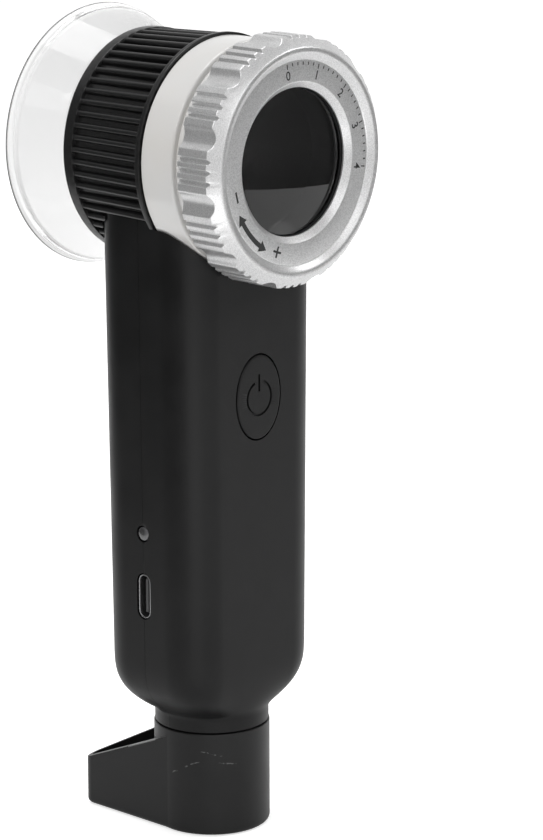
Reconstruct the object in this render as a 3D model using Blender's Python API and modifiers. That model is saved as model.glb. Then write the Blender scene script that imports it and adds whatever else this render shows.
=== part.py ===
# Lighted magnifier that stands on a swivelling foot.
# Metres, +Z up. It stands on Z = 0, the eye looks in from -Y, and the light and the object are at +Y.

import math

import bmesh
import bpy
from mathutils import Matrix, Vector

# Gaps between touching pieces, and how far a cutter runs past what it cuts
clearance = 0.0003
socket_gap = 0.0002
slide_fit = 0.0004
overrun = 0.002
weld_distance = 0.000005

# Handle: a rounded box that narrows to a round neck
grip_half_width_top = 0.0187
grip_half_width_low = 0.0180
taper_drop = 0.01125
taper_rise = 0.0035
grip_front = -0.0130
grip_back_top = 0.0145
grip_back_low = 0.0139
grip_corner = 0.008
grip_wall = 0.002
parting_offset = 0.00065
neck_radius = 0.0113
neck_height = 0.0023
shoulder_height = 0.0129
shoulder_power = 2.85
neck_floor = 0.0048

# Foot: cylinder, hollow arm and the post that turns in the neck
foot_radius = 0.0115
foot_height = 0.0210
foot_edge = 0.0010
arm_reach = 0.0246
arm_tip_radius = 0.0025
arm_angle = math.radians(21.3)
arm_top_drop = 0.0011
arm_slope_share = 0.45
arm_wall = 0.00105
arm_floor = 0.0020
arm_root_inset = 0.0001
post_radius = 0.0050
bush_bore_gap = 0.0003
bush_waist_wall = 0.0033
bush_flange_width = 0.0013
bush_flange_height = 0.0020
washer_radius = 0.0075
washer_thickness = 0.0008
swivel_head_radius = 0.0032
swivel_head_height = 0.0018
swivel_shank_radius = 0.0014
swivel_shank_length = 0.0090
bush_key_width = 0.0024

# Barrel, along the optical axis. Stations count from the handle's axis, and the eye's side is positive.
barrel_front = 0.0037
barrel_length = 0.0215
barrel_bore = 0.0195
barrel_wall = 0.0017
back_flange_width = 0.0030
back_flange_height = 0.00095
back_chamfer_width = 0.0009
back_chamfer_height = 0.00070
front_flange_width = 0.0014
front_flange_height = 0.0016
rib_count = 58
rib_height_back = 0.0008
rib_height_front = 0.0014
groove_width_share = 0.5
rib_phase = math.radians(4.3)
relief_depth = 0.0002
ledge_radius = 0.0180
ledge_thickness = 0.0010
stem_width = 0.026
stem_thickness = 0.009
stem_rim = 0.0011

# Collar and focusing ring
collar_radius = 0.0223
collar_length = 0.0080
collar_groove_width = 0.0003
collar_neck_radius = 0.0214
collar_wall = 0.0006
key_width = 0.0024
key_length = 0.0080
key_height = 0.0010
ring_radius = 0.0239
ring_standoff = 0.0010
ring_cover = 0.0002
ring_knurl_length = 0.0073
ring_chamfer_length = 0.0019
ring_rim_radius = 0.0218
ring_rim_width = 0.0010
ring_rim_height = 0.0010
ring_face_radius = 0.0192
ring_face_wall = 0.0015
eye_opening_radius = 0.0141
countersink_width = 0.0012
countersink_depth = 0.0010
scallop_count = 12
scallop_radius = 0.0032
scallop_depth = 0.0009
scallop_phase = math.radians(13)
notches_between = 3
notch_spacing = math.radians(4.9)
notch_width = 0.0007
notch_depth = 0.0005
focus_in = 0.001
focus_out = 0.003
retainer_thickness = 0.0008

# Lens cell and its lenses
cell_wall = 0.0026
cell_length = 0.0195
cell_flange_thickness = 0.0009
cell_lip_thickness = 0.0012
lens_edge = 0.0025
lens_bulge_front = 0.0009
lens_bulge_back = 0.0012
spacer_length = 0.0070
spacer_wall = 0.0010
lens_ring_thickness = 0.0010
lens_ring_wall = 0.0018

# Lights and the clear skirt
skirt_plug_length = 0.0047
skirt_plug_wall = 0.0014
skirt_seat_width = 0.0009
skirt_seat_thickness = 0.0006
skirt_back_wall = 0.0012
skirt_shoulder_radius = 0.02145
skirt_rim_radius = 0.0258
skirt_length = 0.0113
skirt_wall = 0.0018
skirt_rim_wall = 0.0016
glass_seat_depth = 0.0015
glass_thickness = 0.0010
shield_radius = 0.0149
shield_wall = 0.0007
shield_flange_thickness = 0.0008
board_thickness = 0.0012
led_count = 6
led_size = 0.0020
led_length = 0.0026
led_height = 0.0010
diffuser_thickness = 0.0012

# Electronics in the handle
screw_spacing = 0.0190
low_screw_rise = 0.0015
high_screw_rise = 0.0100
head_rise = 0.02725
boss_radius = 0.0026
screw_head_radius = 0.0021
screw_head_height = 0.0016
screw_shank_radius = 0.0010
screw_shank_length = 0.0160
screw_socket_radius = 0.0011
screw_socket_depth = 0.0009
head_depth = 0.0040
circuit_width = 0.0270
circuit_rise = 0.0024
circuit_gap = 0.0020
circuit_thickness = 0.0013
post_inset = 0.0035
post_rise = 0.0077
board_post_radius = 0.0022
board_screw_length = 0.0060
button_drop = 0.0135
button_width = 0.0120
button_height = 0.0166
button_proud = 0.0002
button_flange = 0.0010
button_flange_thickness = 0.0008
button_travel = 0.0006
switch_size = 0.0060
switch_height = 0.0038
plunger_radius = 0.00175
battery_width = 0.0220
battery_length = 0.0520
battery_thickness = 0.0088
battery_rise = 0.0054
battery_edge = 0.0010
usb_rise = 0.0067
usb_width = 0.00894
usb_height = 0.00326
usb_depth = 0.0073
usb_wall = 0.0003
usb_recess = 0.0002
tongue_width = 0.0067
tongue_thickness = 0.0007
tongue_length = 0.0050
light_rise = 0.0126
light_radius = 0.00142
light_gap = 0.0017
lamp_length = 0.0016
lamp_width = 0.0012

# Segments round a turned piece
steps_fine = 48
steps_plain = 32
steps_small = 12
steps_scallop = 20
shoulder_rings = 8
edge_steps = 3
lens_rings = 3

# Places that several pieces share
neck_bottom = foot_height + clearance
shoulder_bottom = neck_bottom + neck_height
shoulder_top = shoulder_bottom + shoulder_height
screw_x = screw_spacing / 2
screw_low_z = shoulder_top + low_screw_rise
battery_low_z = screw_low_z + boss_radius + battery_rise
screw_high_z = battery_low_z + battery_length + high_screw_rise
axis_height = screw_high_z + head_rise
taper_low_z = shoulder_top + taper_rise
taper_top_z = axis_height - taper_drop
stem_bottom = screw_high_z - boss_radius - clearance - stem_rim
circuit_low_z = screw_low_z + boss_radius + circuit_rise
circuit_high_z = stem_bottom - circuit_gap
button_z = circuit_high_z - button_drop
usb_z = circuit_low_z + usb_rise
light_z = usb_z + light_rise
post_x = circuit_width / 2 - post_inset
post_z = light_z + post_rise
groove_radius = barrel_bore + barrel_wall
relief_radius = groove_radius - relief_depth
barrel_back = barrel_front - barrel_length
spigot_radius = barrel_bore - clearance
guide_bore = spigot_radius - collar_wall
collar_back = barrel_front + clearance
collar_front = collar_back + collar_length
ring_back = focus_in + ring_standoff - grip_front
neck_end = ring_back + focus_out + ring_cover
retainer_back = neck_end + focus_in + clearance
flange_back = retainer_back + retainer_thickness + clearance
flange_front = flange_back + cell_flange_thickness
ring_wall_back = flange_front + clearance
ring_face = ring_wall_back + ring_face_wall
ring_front = ring_face + ring_rim_height
ring_bore = collar_neck_radius + clearance
cell_radius = guide_bore - slide_fit
cell_flange_radius = ring_bore - slide_fit
cell_bore = cell_radius - cell_wall
cell_back = flange_front - cell_length
lens_radius = cell_bore - clearance
eye_edge_front = flange_front - cell_lip_thickness - clearance
eye_edge_back = eye_edge_front - lens_edge
spacer_front = eye_edge_back - clearance
spacer_back = spacer_front - spacer_length
field_edge_front = spacer_back - clearance
field_edge_back = field_edge_front - lens_edge
lens_ring_front = field_edge_back - clearance
skirt_shoulder = barrel_back - clearance
skirt_plug_front = skirt_shoulder + skirt_plug_length
skirt_plug_bore = spigot_radius - skirt_plug_wall
skirt_seat_radius = skirt_plug_bore - skirt_seat_width
skirt_seat = skirt_shoulder + skirt_seat_thickness
skirt_end = skirt_shoulder - skirt_length
board_back = skirt_plug_front + clearance
board_front = board_back + board_thickness
ledge_back = board_front + clearance
ledge_front = ledge_back + ledge_thickness
shield_back = ledge_front + clearance
shield_front = shield_back + shield_flange_thickness
diffuser_back = skirt_seat + clearance
circuit_back = parting_offset - usb_height / 2 - clearance
circuit_front = circuit_back - circuit_thickness
post_gap_radius = screw_shank_radius + clearance
bush_bore = post_radius + bush_bore_gap
bush_waist = bush_bore + bush_waist_wall
bush_flange = bush_waist + bush_flange_width
bush_flange_bottom = neck_bottom + neck_floor + clearance
bush_flange_top = bush_flange_bottom + bush_flange_height
washer_bottom = bush_flange_top + clearance + clearance
post_top = washer_bottom - clearance
swivel_head_bottom = washer_bottom + washer_thickness + clearance
swivel_pilot = swivel_shank_radius + clearance

for old in list(bpy.data.objects):
    bpy.data.objects.remove(old)

parts = bpy.data.collections.new("led_magnifier")
cutters = bpy.data.collections.new("cutters")
bpy.context.scene.collection.children.link(parts)
bpy.context.scene.collection.children.link(cutters)


def finish(name, color, roughness, metallic=0.0, alpha=1.0):
    surface = bpy.data.materials.new(name)
    surface.use_nodes = True
    shader = surface.node_tree.nodes["Principled BSDF"]
    shader.inputs["Base Color"].default_value = (*color, 1.0)
    shader.inputs["Roughness"].default_value = roughness
    shader.inputs["Metallic"].default_value = metallic
    shader.inputs["Alpha"].default_value = alpha
    return surface


def empty(name, location, rotation=(0, 0, 0)):
    frame = bpy.data.objects.new(name, None)
    frame.location = location
    frame.rotation_euler = rotation
    parts.objects.link(frame)
    return frame


def part(name, mesh, surface, parent=None):
    piece = bpy.data.objects.new(name, mesh)
    mesh.materials.clear()
    mesh.materials.append(surface)
    piece.parent = parent
    parts.objects.link(piece)
    return piece


def cutter(name, mesh, parent=None):
    tool = bpy.data.objects.new(name, mesh)
    tool.hide_render = True
    tool.display_type = "WIRE"
    tool.parent = parent
    cutters.objects.link(tool)
    return tool


def boolean(target, tool, operation):
    change = target.modifiers.new(tool.name, "BOOLEAN")
    change.operation = operation
    change.object = tool


def cut(target, tool):
    boolean(target, tool, "DIFFERENCE")


def join(target, tool):
    boolean(target, tool, "UNION")


def profile_mesh(name, outline):
    # The section runs clockwise, so that its outer side runs down
    area = 0
    for (x1, z1), (x2, z2) in zip(outline, outline[1:] + outline[:1]):
        area += x1 * z2 - x2 * z1
    points = outline[::-1] if area > 0 else outline
    mesh = bpy.data.meshes.new(name)
    last = len(points) - 1
    edges = [(index, index + 1) for index in range(last)]
    if min(radius for radius, station in points) > 0:
        edges.append((last, 0))
    mesh.from_pydata([(radius, 0, station) for radius, station in points], edges, [])
    return mesh


def turn(piece, steps):
    screw = piece.modifiers.new("turn", "SCREW")
    screw.steps = steps
    screw.render_steps = steps
    screw.use_merge_vertices = True
    screw.merge_threshold = weld_distance


def turned(name, outline, steps, surface, parent=None):
    piece = part(name, profile_mesh(name, outline), surface, parent)
    turn(piece, steps)
    return piece


def turned_cutter(name, outline, steps, parent=None):
    tool = cutter(name, profile_mesh(name, outline), parent)
    turn(tool, steps)
    return tool


def ring_outline(inner, outer, back, front):
    return [(inner, back), (outer, back), (outer, front), (inner, front)]


def add_block(shape, low, high):
    size = Vector(high) - Vector(low)
    centre = (Vector(high) + Vector(low)) / 2
    place = Matrix.Translation(centre) @ Matrix.Diagonal((*size, 1))
    bmesh.ops.create_cube(shape, size=1, matrix=place)


def add_rod(shape, radius, start, end, steps=steps_small):
    axis = Vector(end) - Vector(start)
    turn_to = axis.to_track_quat("Z", "Y").to_matrix().to_4x4()
    place = Matrix.Translation((Vector(end) + Vector(start)) / 2) @ turn_to
    bmesh.ops.create_cone(shape, cap_ends=True, segments=steps, radius1=radius, radius2=radius,
                          depth=axis.length, matrix=place)


def shape_mesh(name, shape):
    mesh = bpy.data.meshes.new(name)
    shape.to_mesh(mesh)
    shape.free()
    return mesh


def plate_mesh(name, outline, low, high):
    # A flat outline filled and thickened from low to high along local Z
    curve = bpy.data.curves.new(name, "CURVE")
    curve.dimensions = "2D"
    curve.fill_mode = "BOTH"
    curve.extrude = (high - low) / 2
    spline = curve.splines.new("POLY")
    spline.points.add(len(outline) - 1)
    for point, (x, y) in zip(spline.points, outline):
        point.co = (x, y, 0, 1)
    spline.use_cyclic_u = True
    flat = bpy.data.objects.new(name, curve)
    cutters.objects.link(flat)
    view = bpy.context.evaluated_depsgraph_get()
    mesh = bpy.data.meshes.new_from_object(flat.evaluated_get(view))
    bpy.data.objects.remove(flat)
    bpy.data.curves.remove(curve)
    shape = bmesh.new()
    shape.from_mesh(mesh)
    bpy.data.meshes.remove(mesh)
    bmesh.ops.remove_doubles(shape, verts=shape.verts, dist=weld_distance)
    bmesh.ops.translate(shape, verts=shape.verts, vec=(0, 0, (high + low) / 2))
    bmesh.ops.recalc_face_normals(shape, faces=shape.faces)
    return shape_mesh(name, shape)


def loft_mesh(name, rings):
    # Closed solid through rings of equal point counts, from the lowest up
    shape = bmesh.new()
    loops = [[shape.verts.new(point) for point in ring] for ring in rings]
    count = len(loops[0])
    for lower, upper in zip(loops, loops[1:]):
        for index in range(count):
            after = (index + 1) % count
            shape.faces.new((lower[index], lower[after], upper[after], upper[index]))
    shape.faces.new(loops[0][::-1])
    shape.faces.new(loops[-1])
    return shape_mesh(name, shape)


def arc(centre, radius, start, end, steps):
    points = []
    for step in range(steps + 1):
        angle = start + (end - start) * step / steps
        points.append((centre[0] + radius * math.cos(angle), centre[1] + radius * math.sin(angle)))
    return points


def taper_share(z):
    return (z - taper_low_z) / (taper_top_z - taper_low_z)


def grip_half_width(z):
    return grip_half_width_low + (grip_half_width_top - grip_half_width_low) * taper_share(z)


def grip_back(z):
    return grip_back_low + (grip_back_top - grip_back_low) * taper_share(z)


def round_share(z):
    # 0 in the straight handle, 1 in the round neck
    depth = min(max((shoulder_top - z) / shoulder_height, 0), 1)
    return depth ** shoulder_power


def grip_section(z, inset):
    # Rounded box that turns into the neck's circle, anticlockwise from above
    half_width = grip_half_width(z) - inset
    back = grip_back(z) - inset
    front = grip_front + inset
    corner = grip_corner - inset
    middle = (back + front) / 2
    corner_x = half_width - corner
    corner_y = (back - front) / 2 - corner
    box = []
    for quarter in range(4):
        side_x = 1 if quarter in (0, 3) else -1
        side_y = 1 if quarter in (0, 1) else -1
        start = quarter * math.pi / 2
        box += arc((side_x * corner_x, side_y * corner_y), corner, start, start + math.pi / 2, 4)
        flat = 4 if quarter in (0, 2) else 3
        for step in range(1, flat):
            share = step / flat * 2 - 1
            if quarter in (0, 2):
                box.append((-side_x * corner_x * share, side_y * (corner_y + corner)))
            else:
                box.append((side_x * (corner_x + corner), -side_y * corner_y * share))
    rounded = round_share(z)
    points = []
    for x, y in box:
        reach = (neck_radius - inset) / math.hypot(x, y)
        round_x = x * reach
        round_y = y * reach
        blend_x = x + (round_x - x) * rounded
        blend_y = (y + middle) + (round_y - y - middle) * rounded
        points.append((blend_x, blend_y, z))
    return points


def grip_solid(name, low, high, inset):
    levels = [low] if low < shoulder_bottom else []
    first = max(low, shoulder_bottom)
    rise = shoulder_top - first
    levels += [first + rise * step / shoulder_rings for step in range(shoulder_rings + 1)]
    levels.append(high)
    return loft_mesh(name, [grip_section(z, inset) for z in levels])


def make_grip_shell(name, surface, front):
    # One half of the handle: outer form, emptied, halved, and cut to seat the barrel and the collar
    top = axis_height - math.sqrt(relief_radius ** 2 - grip_half_width_top ** 2)
    shell = part(name, grip_solid(name, neck_bottom, top, 0), surface)
    floor = neck_bottom + neck_floor
    cut(shell, cutter(name + "_cavity", grip_solid(name + "_cavity", floor, top + overrun, grip_wall)))

    facing = parting_offset - clearance / 2 if front else parting_offset + clearance / 2
    outer = grip_front if front else grip_back_low
    away = grip_back_top + overrun if front else grip_front - overrun
    wide = grip_half_width_top + overrun
    half = bmesh.new()
    add_block(half, (-wide, min(facing, away), neck_bottom - overrun), (wide, max(facing, away), top + overrun))
    cut(shell, cutter(name + "_half", shape_mesh(name + "_half", half)))

    inward = 1 if front else -1
    bosses = bmesh.new()
    for x in (-screw_x, screw_x):
        for z in (screw_low_z, screw_high_z):
            add_rod(bosses, boss_radius, (x, outer + inward * grip_wall / 2, z), (x, facing, z))
    if front:
        for x in (-post_x, post_x):
            add_rod(bosses, board_post_radius, (x, outer + grip_wall / 2, post_z),
                    (x, circuit_front - clearance, post_z))
        key_face = -bush_waist - clearance - clearance
        add_block(bosses, (-bush_key_width / 2, outer + overrun, floor - clearance),
                  (bush_key_width / 2, key_face, bush_flange_top))
    join(shell, cutter(name + "_bosses", shape_mesh(name + "_bosses", bosses)))

    holes = bmesh.new()
    places = [(x, z) for x in (-screw_x, screw_x) for z in (screw_low_z, screw_high_z)]
    if front:
        bore_end = outer + grip_wall
        for x, z in places + [(-post_x, post_z), (post_x, post_z)]:
            add_rod(holes, post_gap_radius, (x, bore_end, z), (x, parting_offset + overrun, z))
    else:
        heads = bmesh.new()
        for x, z in places:
            seat = grip_back(z) - head_depth
            add_rod(holes, post_gap_radius, (x, parting_offset - overrun, z), (x, seat + clearance, z))
            add_rod(heads, screw_head_radius + clearance, (x, seat, z), (x, grip_back_top + overrun, z))
        cut(shell, cutter(name + "_counterbores", shape_mesh(name + "_counterbores", heads)))
    side = -grip_half_width_top - overrun
    inside = grip_wall + overrun - grip_half_width_low
    add_rod(holes, light_radius + socket_gap, (side, parting_offset, light_z), (inside, parting_offset, light_z))
    cut(shell, cutter(name + "_holes", shape_mesh(name + "_holes", holes)))

    slot = cutter(name + "_usb_slot", socket_mesh(name + "_usb_slot", -socket_gap, side, inside))
    cut(shell, slot)
    cut(shell, saddle(name + "_saddle"))
    bore = bmesh.new()
    add_rod(bore, bush_waist + clearance, (0, 0, neck_bottom - overrun), (0, 0, floor + overrun), steps_plain)
    cut(shell, cutter(name + "_bush_bore", shape_mesh(name + "_bush_bore", bore)))
    return shell


def saddle(name):
    # What the barrel and the collar leave free in the handle's top
    step = barrel_front
    far = grip_back_top + overrun
    near = overrun - grip_front
    outline = [(0, -far), (relief_radius + clearance, -far), (relief_radius + clearance, step),
               (collar_radius + clearance, step), (collar_radius + clearance, near), (0, near)]
    tool = turned_cutter(name, outline, steps_fine, optical_axis)
    # Turned by half a step, so that none of its edges lies in the handle's middle plane
    tool.rotation_euler.z = math.pi / steps_fine
    return tool


def button_outline(extra):
    half_width = button_width / 2 + extra
    half_height = button_height / 2 + extra
    outline = []
    for x, z in arc((0, 0), 1, 0, 2 * math.pi, steps_plain)[:-1]:
        outline.append((x * half_width, z * half_height))
    return outline


def make_button(surface):
    # Oval key with a flange behind the wall; its switch is on the circuit board
    hole_mesh = plate_mesh("button_hole", button_outline(clearance), -overrun, grip_wall + overrun)
    hole = cutter("button_hole", hole_mesh)
    hole.location = (0, grip_front + grip_wall, button_z)
    hole.rotation_euler = (math.pi / 2, 0, 0)
    cut(front_shell, hole)

    flange_front_y = grip_front + grip_wall + clearance
    flange_back_y = flange_front_y + button_flange_thickness
    frame = empty("power_button_axis", (0, flange_back_y, button_z), (math.pi / 2, 0, 0))
    key_length = flange_back_y - grip_front + button_proud
    key = part("power_button", plate_mesh("power_button", button_outline(0), 0, key_length), surface, frame)
    flange_mesh = plate_mesh("button_flange", button_outline(button_flange), 0, button_flange_thickness)
    join(key, cutter("button_flange", flange_mesh, frame))
    return flange_back_y


def socket_mesh(name, inset, start, end):
    # Slot-shaped bar along X, its long side upright
    radius = usb_height / 2 - inset
    straight = usb_width / 2 - usb_height / 2
    outline = arc((straight, 0), radius, -math.pi / 2, math.pi / 2, 6)
    outline += arc((-straight, 0), radius, math.pi / 2, math.pi * 3 / 2, 6)
    mesh = plate_mesh(name, outline, start, end)
    upright = Matrix(((0, 0, 1, 0), (0, 1, 0, 0), (-1, 0, 0, 0), (0, 0, 0, 1)))
    mesh.transform(Matrix.Translation((0, parting_offset, usb_z)) @ upright)
    return mesh


def make_usb(shell_surface, tongue_surface):
    mouth = usb_recess - grip_half_width(usb_z)
    end = mouth + usb_depth
    socket = part("usb_socket", socket_mesh("usb_socket", 0, mouth, end), shell_surface)
    hollow = socket_mesh("usb_hollow", usb_wall, mouth - overrun, end - usb_wall)
    cut(socket, cutter("usb_hollow", hollow))
    shape = bmesh.new()
    tongue_end = end - usb_wall - clearance
    add_block(shape, (tongue_end - tongue_length, parting_offset - tongue_thickness / 2, usb_z - tongue_width / 2),
              (tongue_end, parting_offset + tongue_thickness / 2, usb_z + tongue_width / 2))
    part("usb_tongue", shape_mesh("usb_tongue", shape), tongue_surface)


def screw_outline(head_radius, head_height, shank_radius, shank_length):
    # Head up, shank down, seat of the head at station 0
    return [(0, head_height), (head_radius, head_height), (head_radius, 0), (shank_radius, 0),
            (shank_radius, -shank_length), (0, -shank_length)]


def make_screw(name, outline, location, rotation, surface):
    frame = empty(name + "_axis", location, rotation)
    screw = turned(name, outline, steps_small, surface, frame)
    head = outline[0][1]
    shape = bmesh.new()
    add_rod(shape, screw_socket_radius, (0, 0, head - screw_socket_depth), (0, 0, head + overrun), 6)
    cut(screw, cutter(name + "_socket", shape_mesh(name + "_socket", shape), frame))
    return screw


def make_screws(surface):
    back = (-math.pi / 2, 0, 0)
    outline = screw_outline(screw_head_radius, screw_head_height, screw_shank_radius, screw_shank_length)
    places = [(x, z) for z in (screw_high_z, screw_low_z) for x in (-screw_x, screw_x)]
    for number, (x, z) in enumerate(places, start=1):
        seat = grip_back(z) - head_depth + clearance
        make_screw(f"shell_screw_{number}", outline, (x, seat, z), back, surface)
    outline = screw_outline(screw_head_radius, screw_head_height, screw_shank_radius, board_screw_length)
    for number, x in enumerate((-post_x, post_x), start=1):
        make_screw(f"board_screw_{number}", outline, (x, circuit_back + clearance, post_z), back, surface)


def make_circuit(board_surface, switch_surface, battery_surface, lamp_surface, button_back):
    shape = bmesh.new()
    half_width = circuit_width / 2
    add_block(shape, (-half_width, circuit_front, circuit_low_z), (half_width, circuit_back, circuit_high_z))
    board = part("circuit_board", shape_mesh("circuit_board", shape), board_surface)
    holes = bmesh.new()
    for x in (-post_x, post_x):
        add_rod(holes, post_gap_radius, (x, circuit_front - overrun, post_z),
                (x, circuit_back + overrun, post_z))
    cut(board, cutter("circuit_board_holes", shape_mesh("circuit_board_holes", holes)))

    shape = bmesh.new()
    back = circuit_front - clearance
    front = back - switch_height
    half = switch_size / 2
    add_block(shape, (-half, front, button_z - half), (half, back, button_z + half))
    switch = part("button_switch", shape_mesh("button_switch", shape), switch_surface)
    plunger = bmesh.new()
    plunger_end = button_back + button_travel + clearance
    add_rod(plunger, plunger_radius, (0, front + clearance, button_z), (0, plunger_end, button_z))
    join(switch, cutter("switch_plunger", shape_mesh("switch_plunger", plunger)))

    shape = bmesh.new()
    back = grip_back(battery_low_z) - grip_wall - clearance
    half_width = battery_width / 2
    add_block(shape, (-half_width, back - battery_thickness, battery_low_z),
              (half_width, back, battery_low_z + battery_length))
    battery = part("battery_cell", shape_mesh("battery_cell", shape), battery_surface)
    edges = battery.modifiers.new("edges", "BEVEL")
    edges.width = battery_edge
    edges.segments = 2

    shape = bmesh.new()
    lamp_x = -circuit_width / 2
    add_block(shape, (lamp_x, circuit_back + clearance, light_z - lamp_width / 2),
              (lamp_x + lamp_length, circuit_back + clearance + lamp_width, light_z + lamp_width / 2))
    part("charge_lamp", shape_mesh("charge_lamp", shape), lamp_surface)


def make_light_pipe(surface):
    shape = bmesh.new()
    outer = -grip_half_width(light_z)
    inner = -circuit_width / 2 - light_gap
    add_rod(shape, light_radius, (outer, parting_offset, light_z), (inner, parting_offset, light_z))
    part("charge_light", shape_mesh("charge_light", shape), surface)


def make_barrel(surface):
    rib_back = barrel_back + back_flange_width
    rib_front = barrel_front - front_flange_width
    flange_radius = groove_radius + back_flange_height
    front_radius = groove_radius + front_flange_height
    outline = [(barrel_bore, barrel_back), (flange_radius - back_chamfer_height, barrel_back),
               (flange_radius, barrel_back + back_chamfer_width), (flange_radius, rib_back),
               (groove_radius + rib_height_back, rib_back), (groove_radius + rib_height_front, rib_front),
               (front_radius, rib_front), (front_radius, barrel_front), (barrel_bore, barrel_front),
               (barrel_bore, ledge_front), (ledge_radius, ledge_front), (ledge_radius, ledge_back),
               (barrel_bore, ledge_back)]
    barrel = turned("barrel_grip", outline, rib_count, surface, optical_axis)
    barrel.rotation_euler = (0, 0, rib_phase)

    pitch = 2 * math.pi / rib_count
    groove_width = groove_radius * pitch * groove_width_share
    outer = front_radius + overrun
    grooves = bmesh.new()
    for index in range(rib_count):
        angle = rib_phase + pitch * index
        groove = bmesh.new()
        add_block(groove, (groove_radius, -groove_width / 2, rib_back), (outer, groove_width / 2, rib_front))
        bmesh.ops.rotate(groove, verts=groove.verts, matrix=Matrix.Rotation(angle, 3, "Z"))
        one = shape_mesh("one_groove", groove)
        grooves.from_mesh(one)
        bpy.data.meshes.remove(one)
    cut(barrel, cutter("barrel_grooves", shape_mesh("barrel_grooves", grooves), optical_axis))

    relief = cutter("barrel_relief", relief_mesh("barrel_relief"))
    core = bmesh.new()
    add_rod(core, relief_radius, (0, grip_front * 2, axis_height), (0, grip_back_top * 2, axis_height),
            steps_fine)
    cut(relief, cutter("barrel_relief_core", shape_mesh("barrel_relief_core", core)))
    cut(barrel, relief)

    stem = bmesh.new()
    half_width = stem_width / 2
    add_block(stem, (-half_width, parting_offset - stem_thickness / 2, stem_bottom),
              (half_width, parting_offset + stem_thickness / 2, axis_height - half_width))
    stem_tool = cutter("barrel_stem", shape_mesh("barrel_stem", stem))
    inner = bmesh.new()
    middle_radius = barrel_bore + barrel_wall / 2
    add_rod(inner, middle_radius, (0, grip_front, axis_height), (0, grip_back_top, axis_height), steps_fine)
    cut(stem_tool, cutter("barrel_stem_inner", shape_mesh("barrel_stem_inner", inner)))
    join(barrel, stem_tool)
    holes = bmesh.new()
    for x in (-screw_x, screw_x):
        add_rod(holes, boss_radius + clearance, (x, grip_front, screw_high_z), (x, grip_back_top, screw_high_z))
    cut(barrel, cutter("barrel_stem_holes", shape_mesh("barrel_stem_holes", holes)))


def relief_mesh(name):
    # The handle's footprint with its clearance, where the barrel's ribs stop short
    low = axis_height - groove_radius - front_flange_height - overrun
    high = axis_height + overrun - math.sqrt(relief_radius ** 2 - (grip_half_width_top + clearance) ** 2)
    return loft_mesh(name, [grip_section(z, -clearance) for z in (low, high)])


def make_collar(surface):
    groove_end = collar_front + collar_groove_width
    outline = [(guide_bore, shield_front + clearance), (spigot_radius, shield_front + clearance),
               (spigot_radius, collar_back), (collar_radius, collar_back), (collar_radius, collar_front),
               (collar_neck_radius - clearance, collar_front), (collar_neck_radius - clearance, groove_end),
               (collar_neck_radius, groove_end), (collar_neck_radius, neck_end), (guide_bore, neck_end)]
    collar = turned("light_collar", outline, steps_fine, surface, optical_axis)
    way = bmesh.new()
    half = key_width / 2 + clearance
    add_block(way, (-half, 0, collar_back + focus_in),
              (half, cell_radius + key_height + clearance, neck_end + overrun))
    cut(collar, cutter("collar_keyway", shape_mesh("collar_keyway", way), optical_axis))


def make_focus_ring(surface, retainer_surface):
    knurl_front = ring_back + ring_knurl_length
    chamfer_front = knurl_front + ring_chamfer_length
    rim_inner = ring_rim_radius - ring_rim_width
    countersink_radius = eye_opening_radius + countersink_width
    outline = [(ring_bore, ring_back), (ring_radius, ring_back), (ring_radius, knurl_front),
               (ring_rim_radius, chamfer_front), (ring_rim_radius - clearance, ring_front),
               (rim_inner, ring_front), (ring_face_radius, ring_face), (countersink_radius, ring_face),
               (eye_opening_radius, ring_face - countersink_depth), (eye_opening_radius, ring_wall_back),
               (ring_bore, ring_wall_back)]
    ring = turned("focus_ring", outline, steps_fine, surface, optical_axis)
    shape = bmesh.new()
    back = ring_back - overrun
    front = ring_front + overrun
    centre_radius = ring_radius - scallop_depth + scallop_radius
    spacing = 2 * math.pi / scallop_count
    for index in range(scallop_count):
        angle = scallop_phase + spacing * index
        x = centre_radius * math.cos(angle)
        y = centre_radius * math.sin(angle)
        add_rod(shape, scallop_radius, (x, y, back), (x, y, front), steps_scallop)
    cut(ring, cutter("ring_scallops", shape_mesh("ring_scallops", shape), optical_axis))

    shape = bmesh.new()
    for index in range(scallop_count):
        for number in range(notches_between):
            offset = (number - (notches_between - 1) / 2) * notch_spacing
            angle = scallop_phase + spacing * (index + 1 / 2) + offset
            notch = bmesh.new()
            add_block(notch, (ring_radius - notch_depth, -notch_width / 2, back),
                      (ring_radius + overrun, notch_width / 2, front))
            bmesh.ops.rotate(notch, verts=notch.verts, matrix=Matrix.Rotation(angle, 3, "Z"))
            one = shape_mesh("one_notch", notch)
            shape.from_mesh(one)
            bpy.data.meshes.remove(one)
    cut(ring, cutter("ring_notches", shape_mesh("ring_notches", shape), optical_axis))

    outline = ring_outline(cell_radius + key_height, ring_bore - clearance, retainer_back,
                           retainer_back + retainer_thickness)
    turned("ring_retainer", outline, steps_plain, retainer_surface, optical_axis)


def make_lens_cell(surface):
    lip_back = flange_front - cell_lip_thickness
    outline = [(cell_bore, cell_back), (cell_radius, cell_back), (cell_radius, flange_back),
               (cell_flange_radius, flange_back), (cell_flange_radius, flange_front),
               (eye_opening_radius, flange_front), (eye_opening_radius, lip_back), (cell_bore, lip_back)]
    cell = turned("lens_cell", outline, steps_fine, surface, optical_axis)
    key = bmesh.new()
    key_back = collar_back + focus_in + focus_in + clearance
    add_block(key, (-key_width / 2, cell_radius - cell_wall / 2, key_back),
              (key_width / 2, cell_radius + key_height, key_back + key_length))
    join(cell, cutter("cell_key", shape_mesh("cell_key", key), optical_axis))


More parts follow.
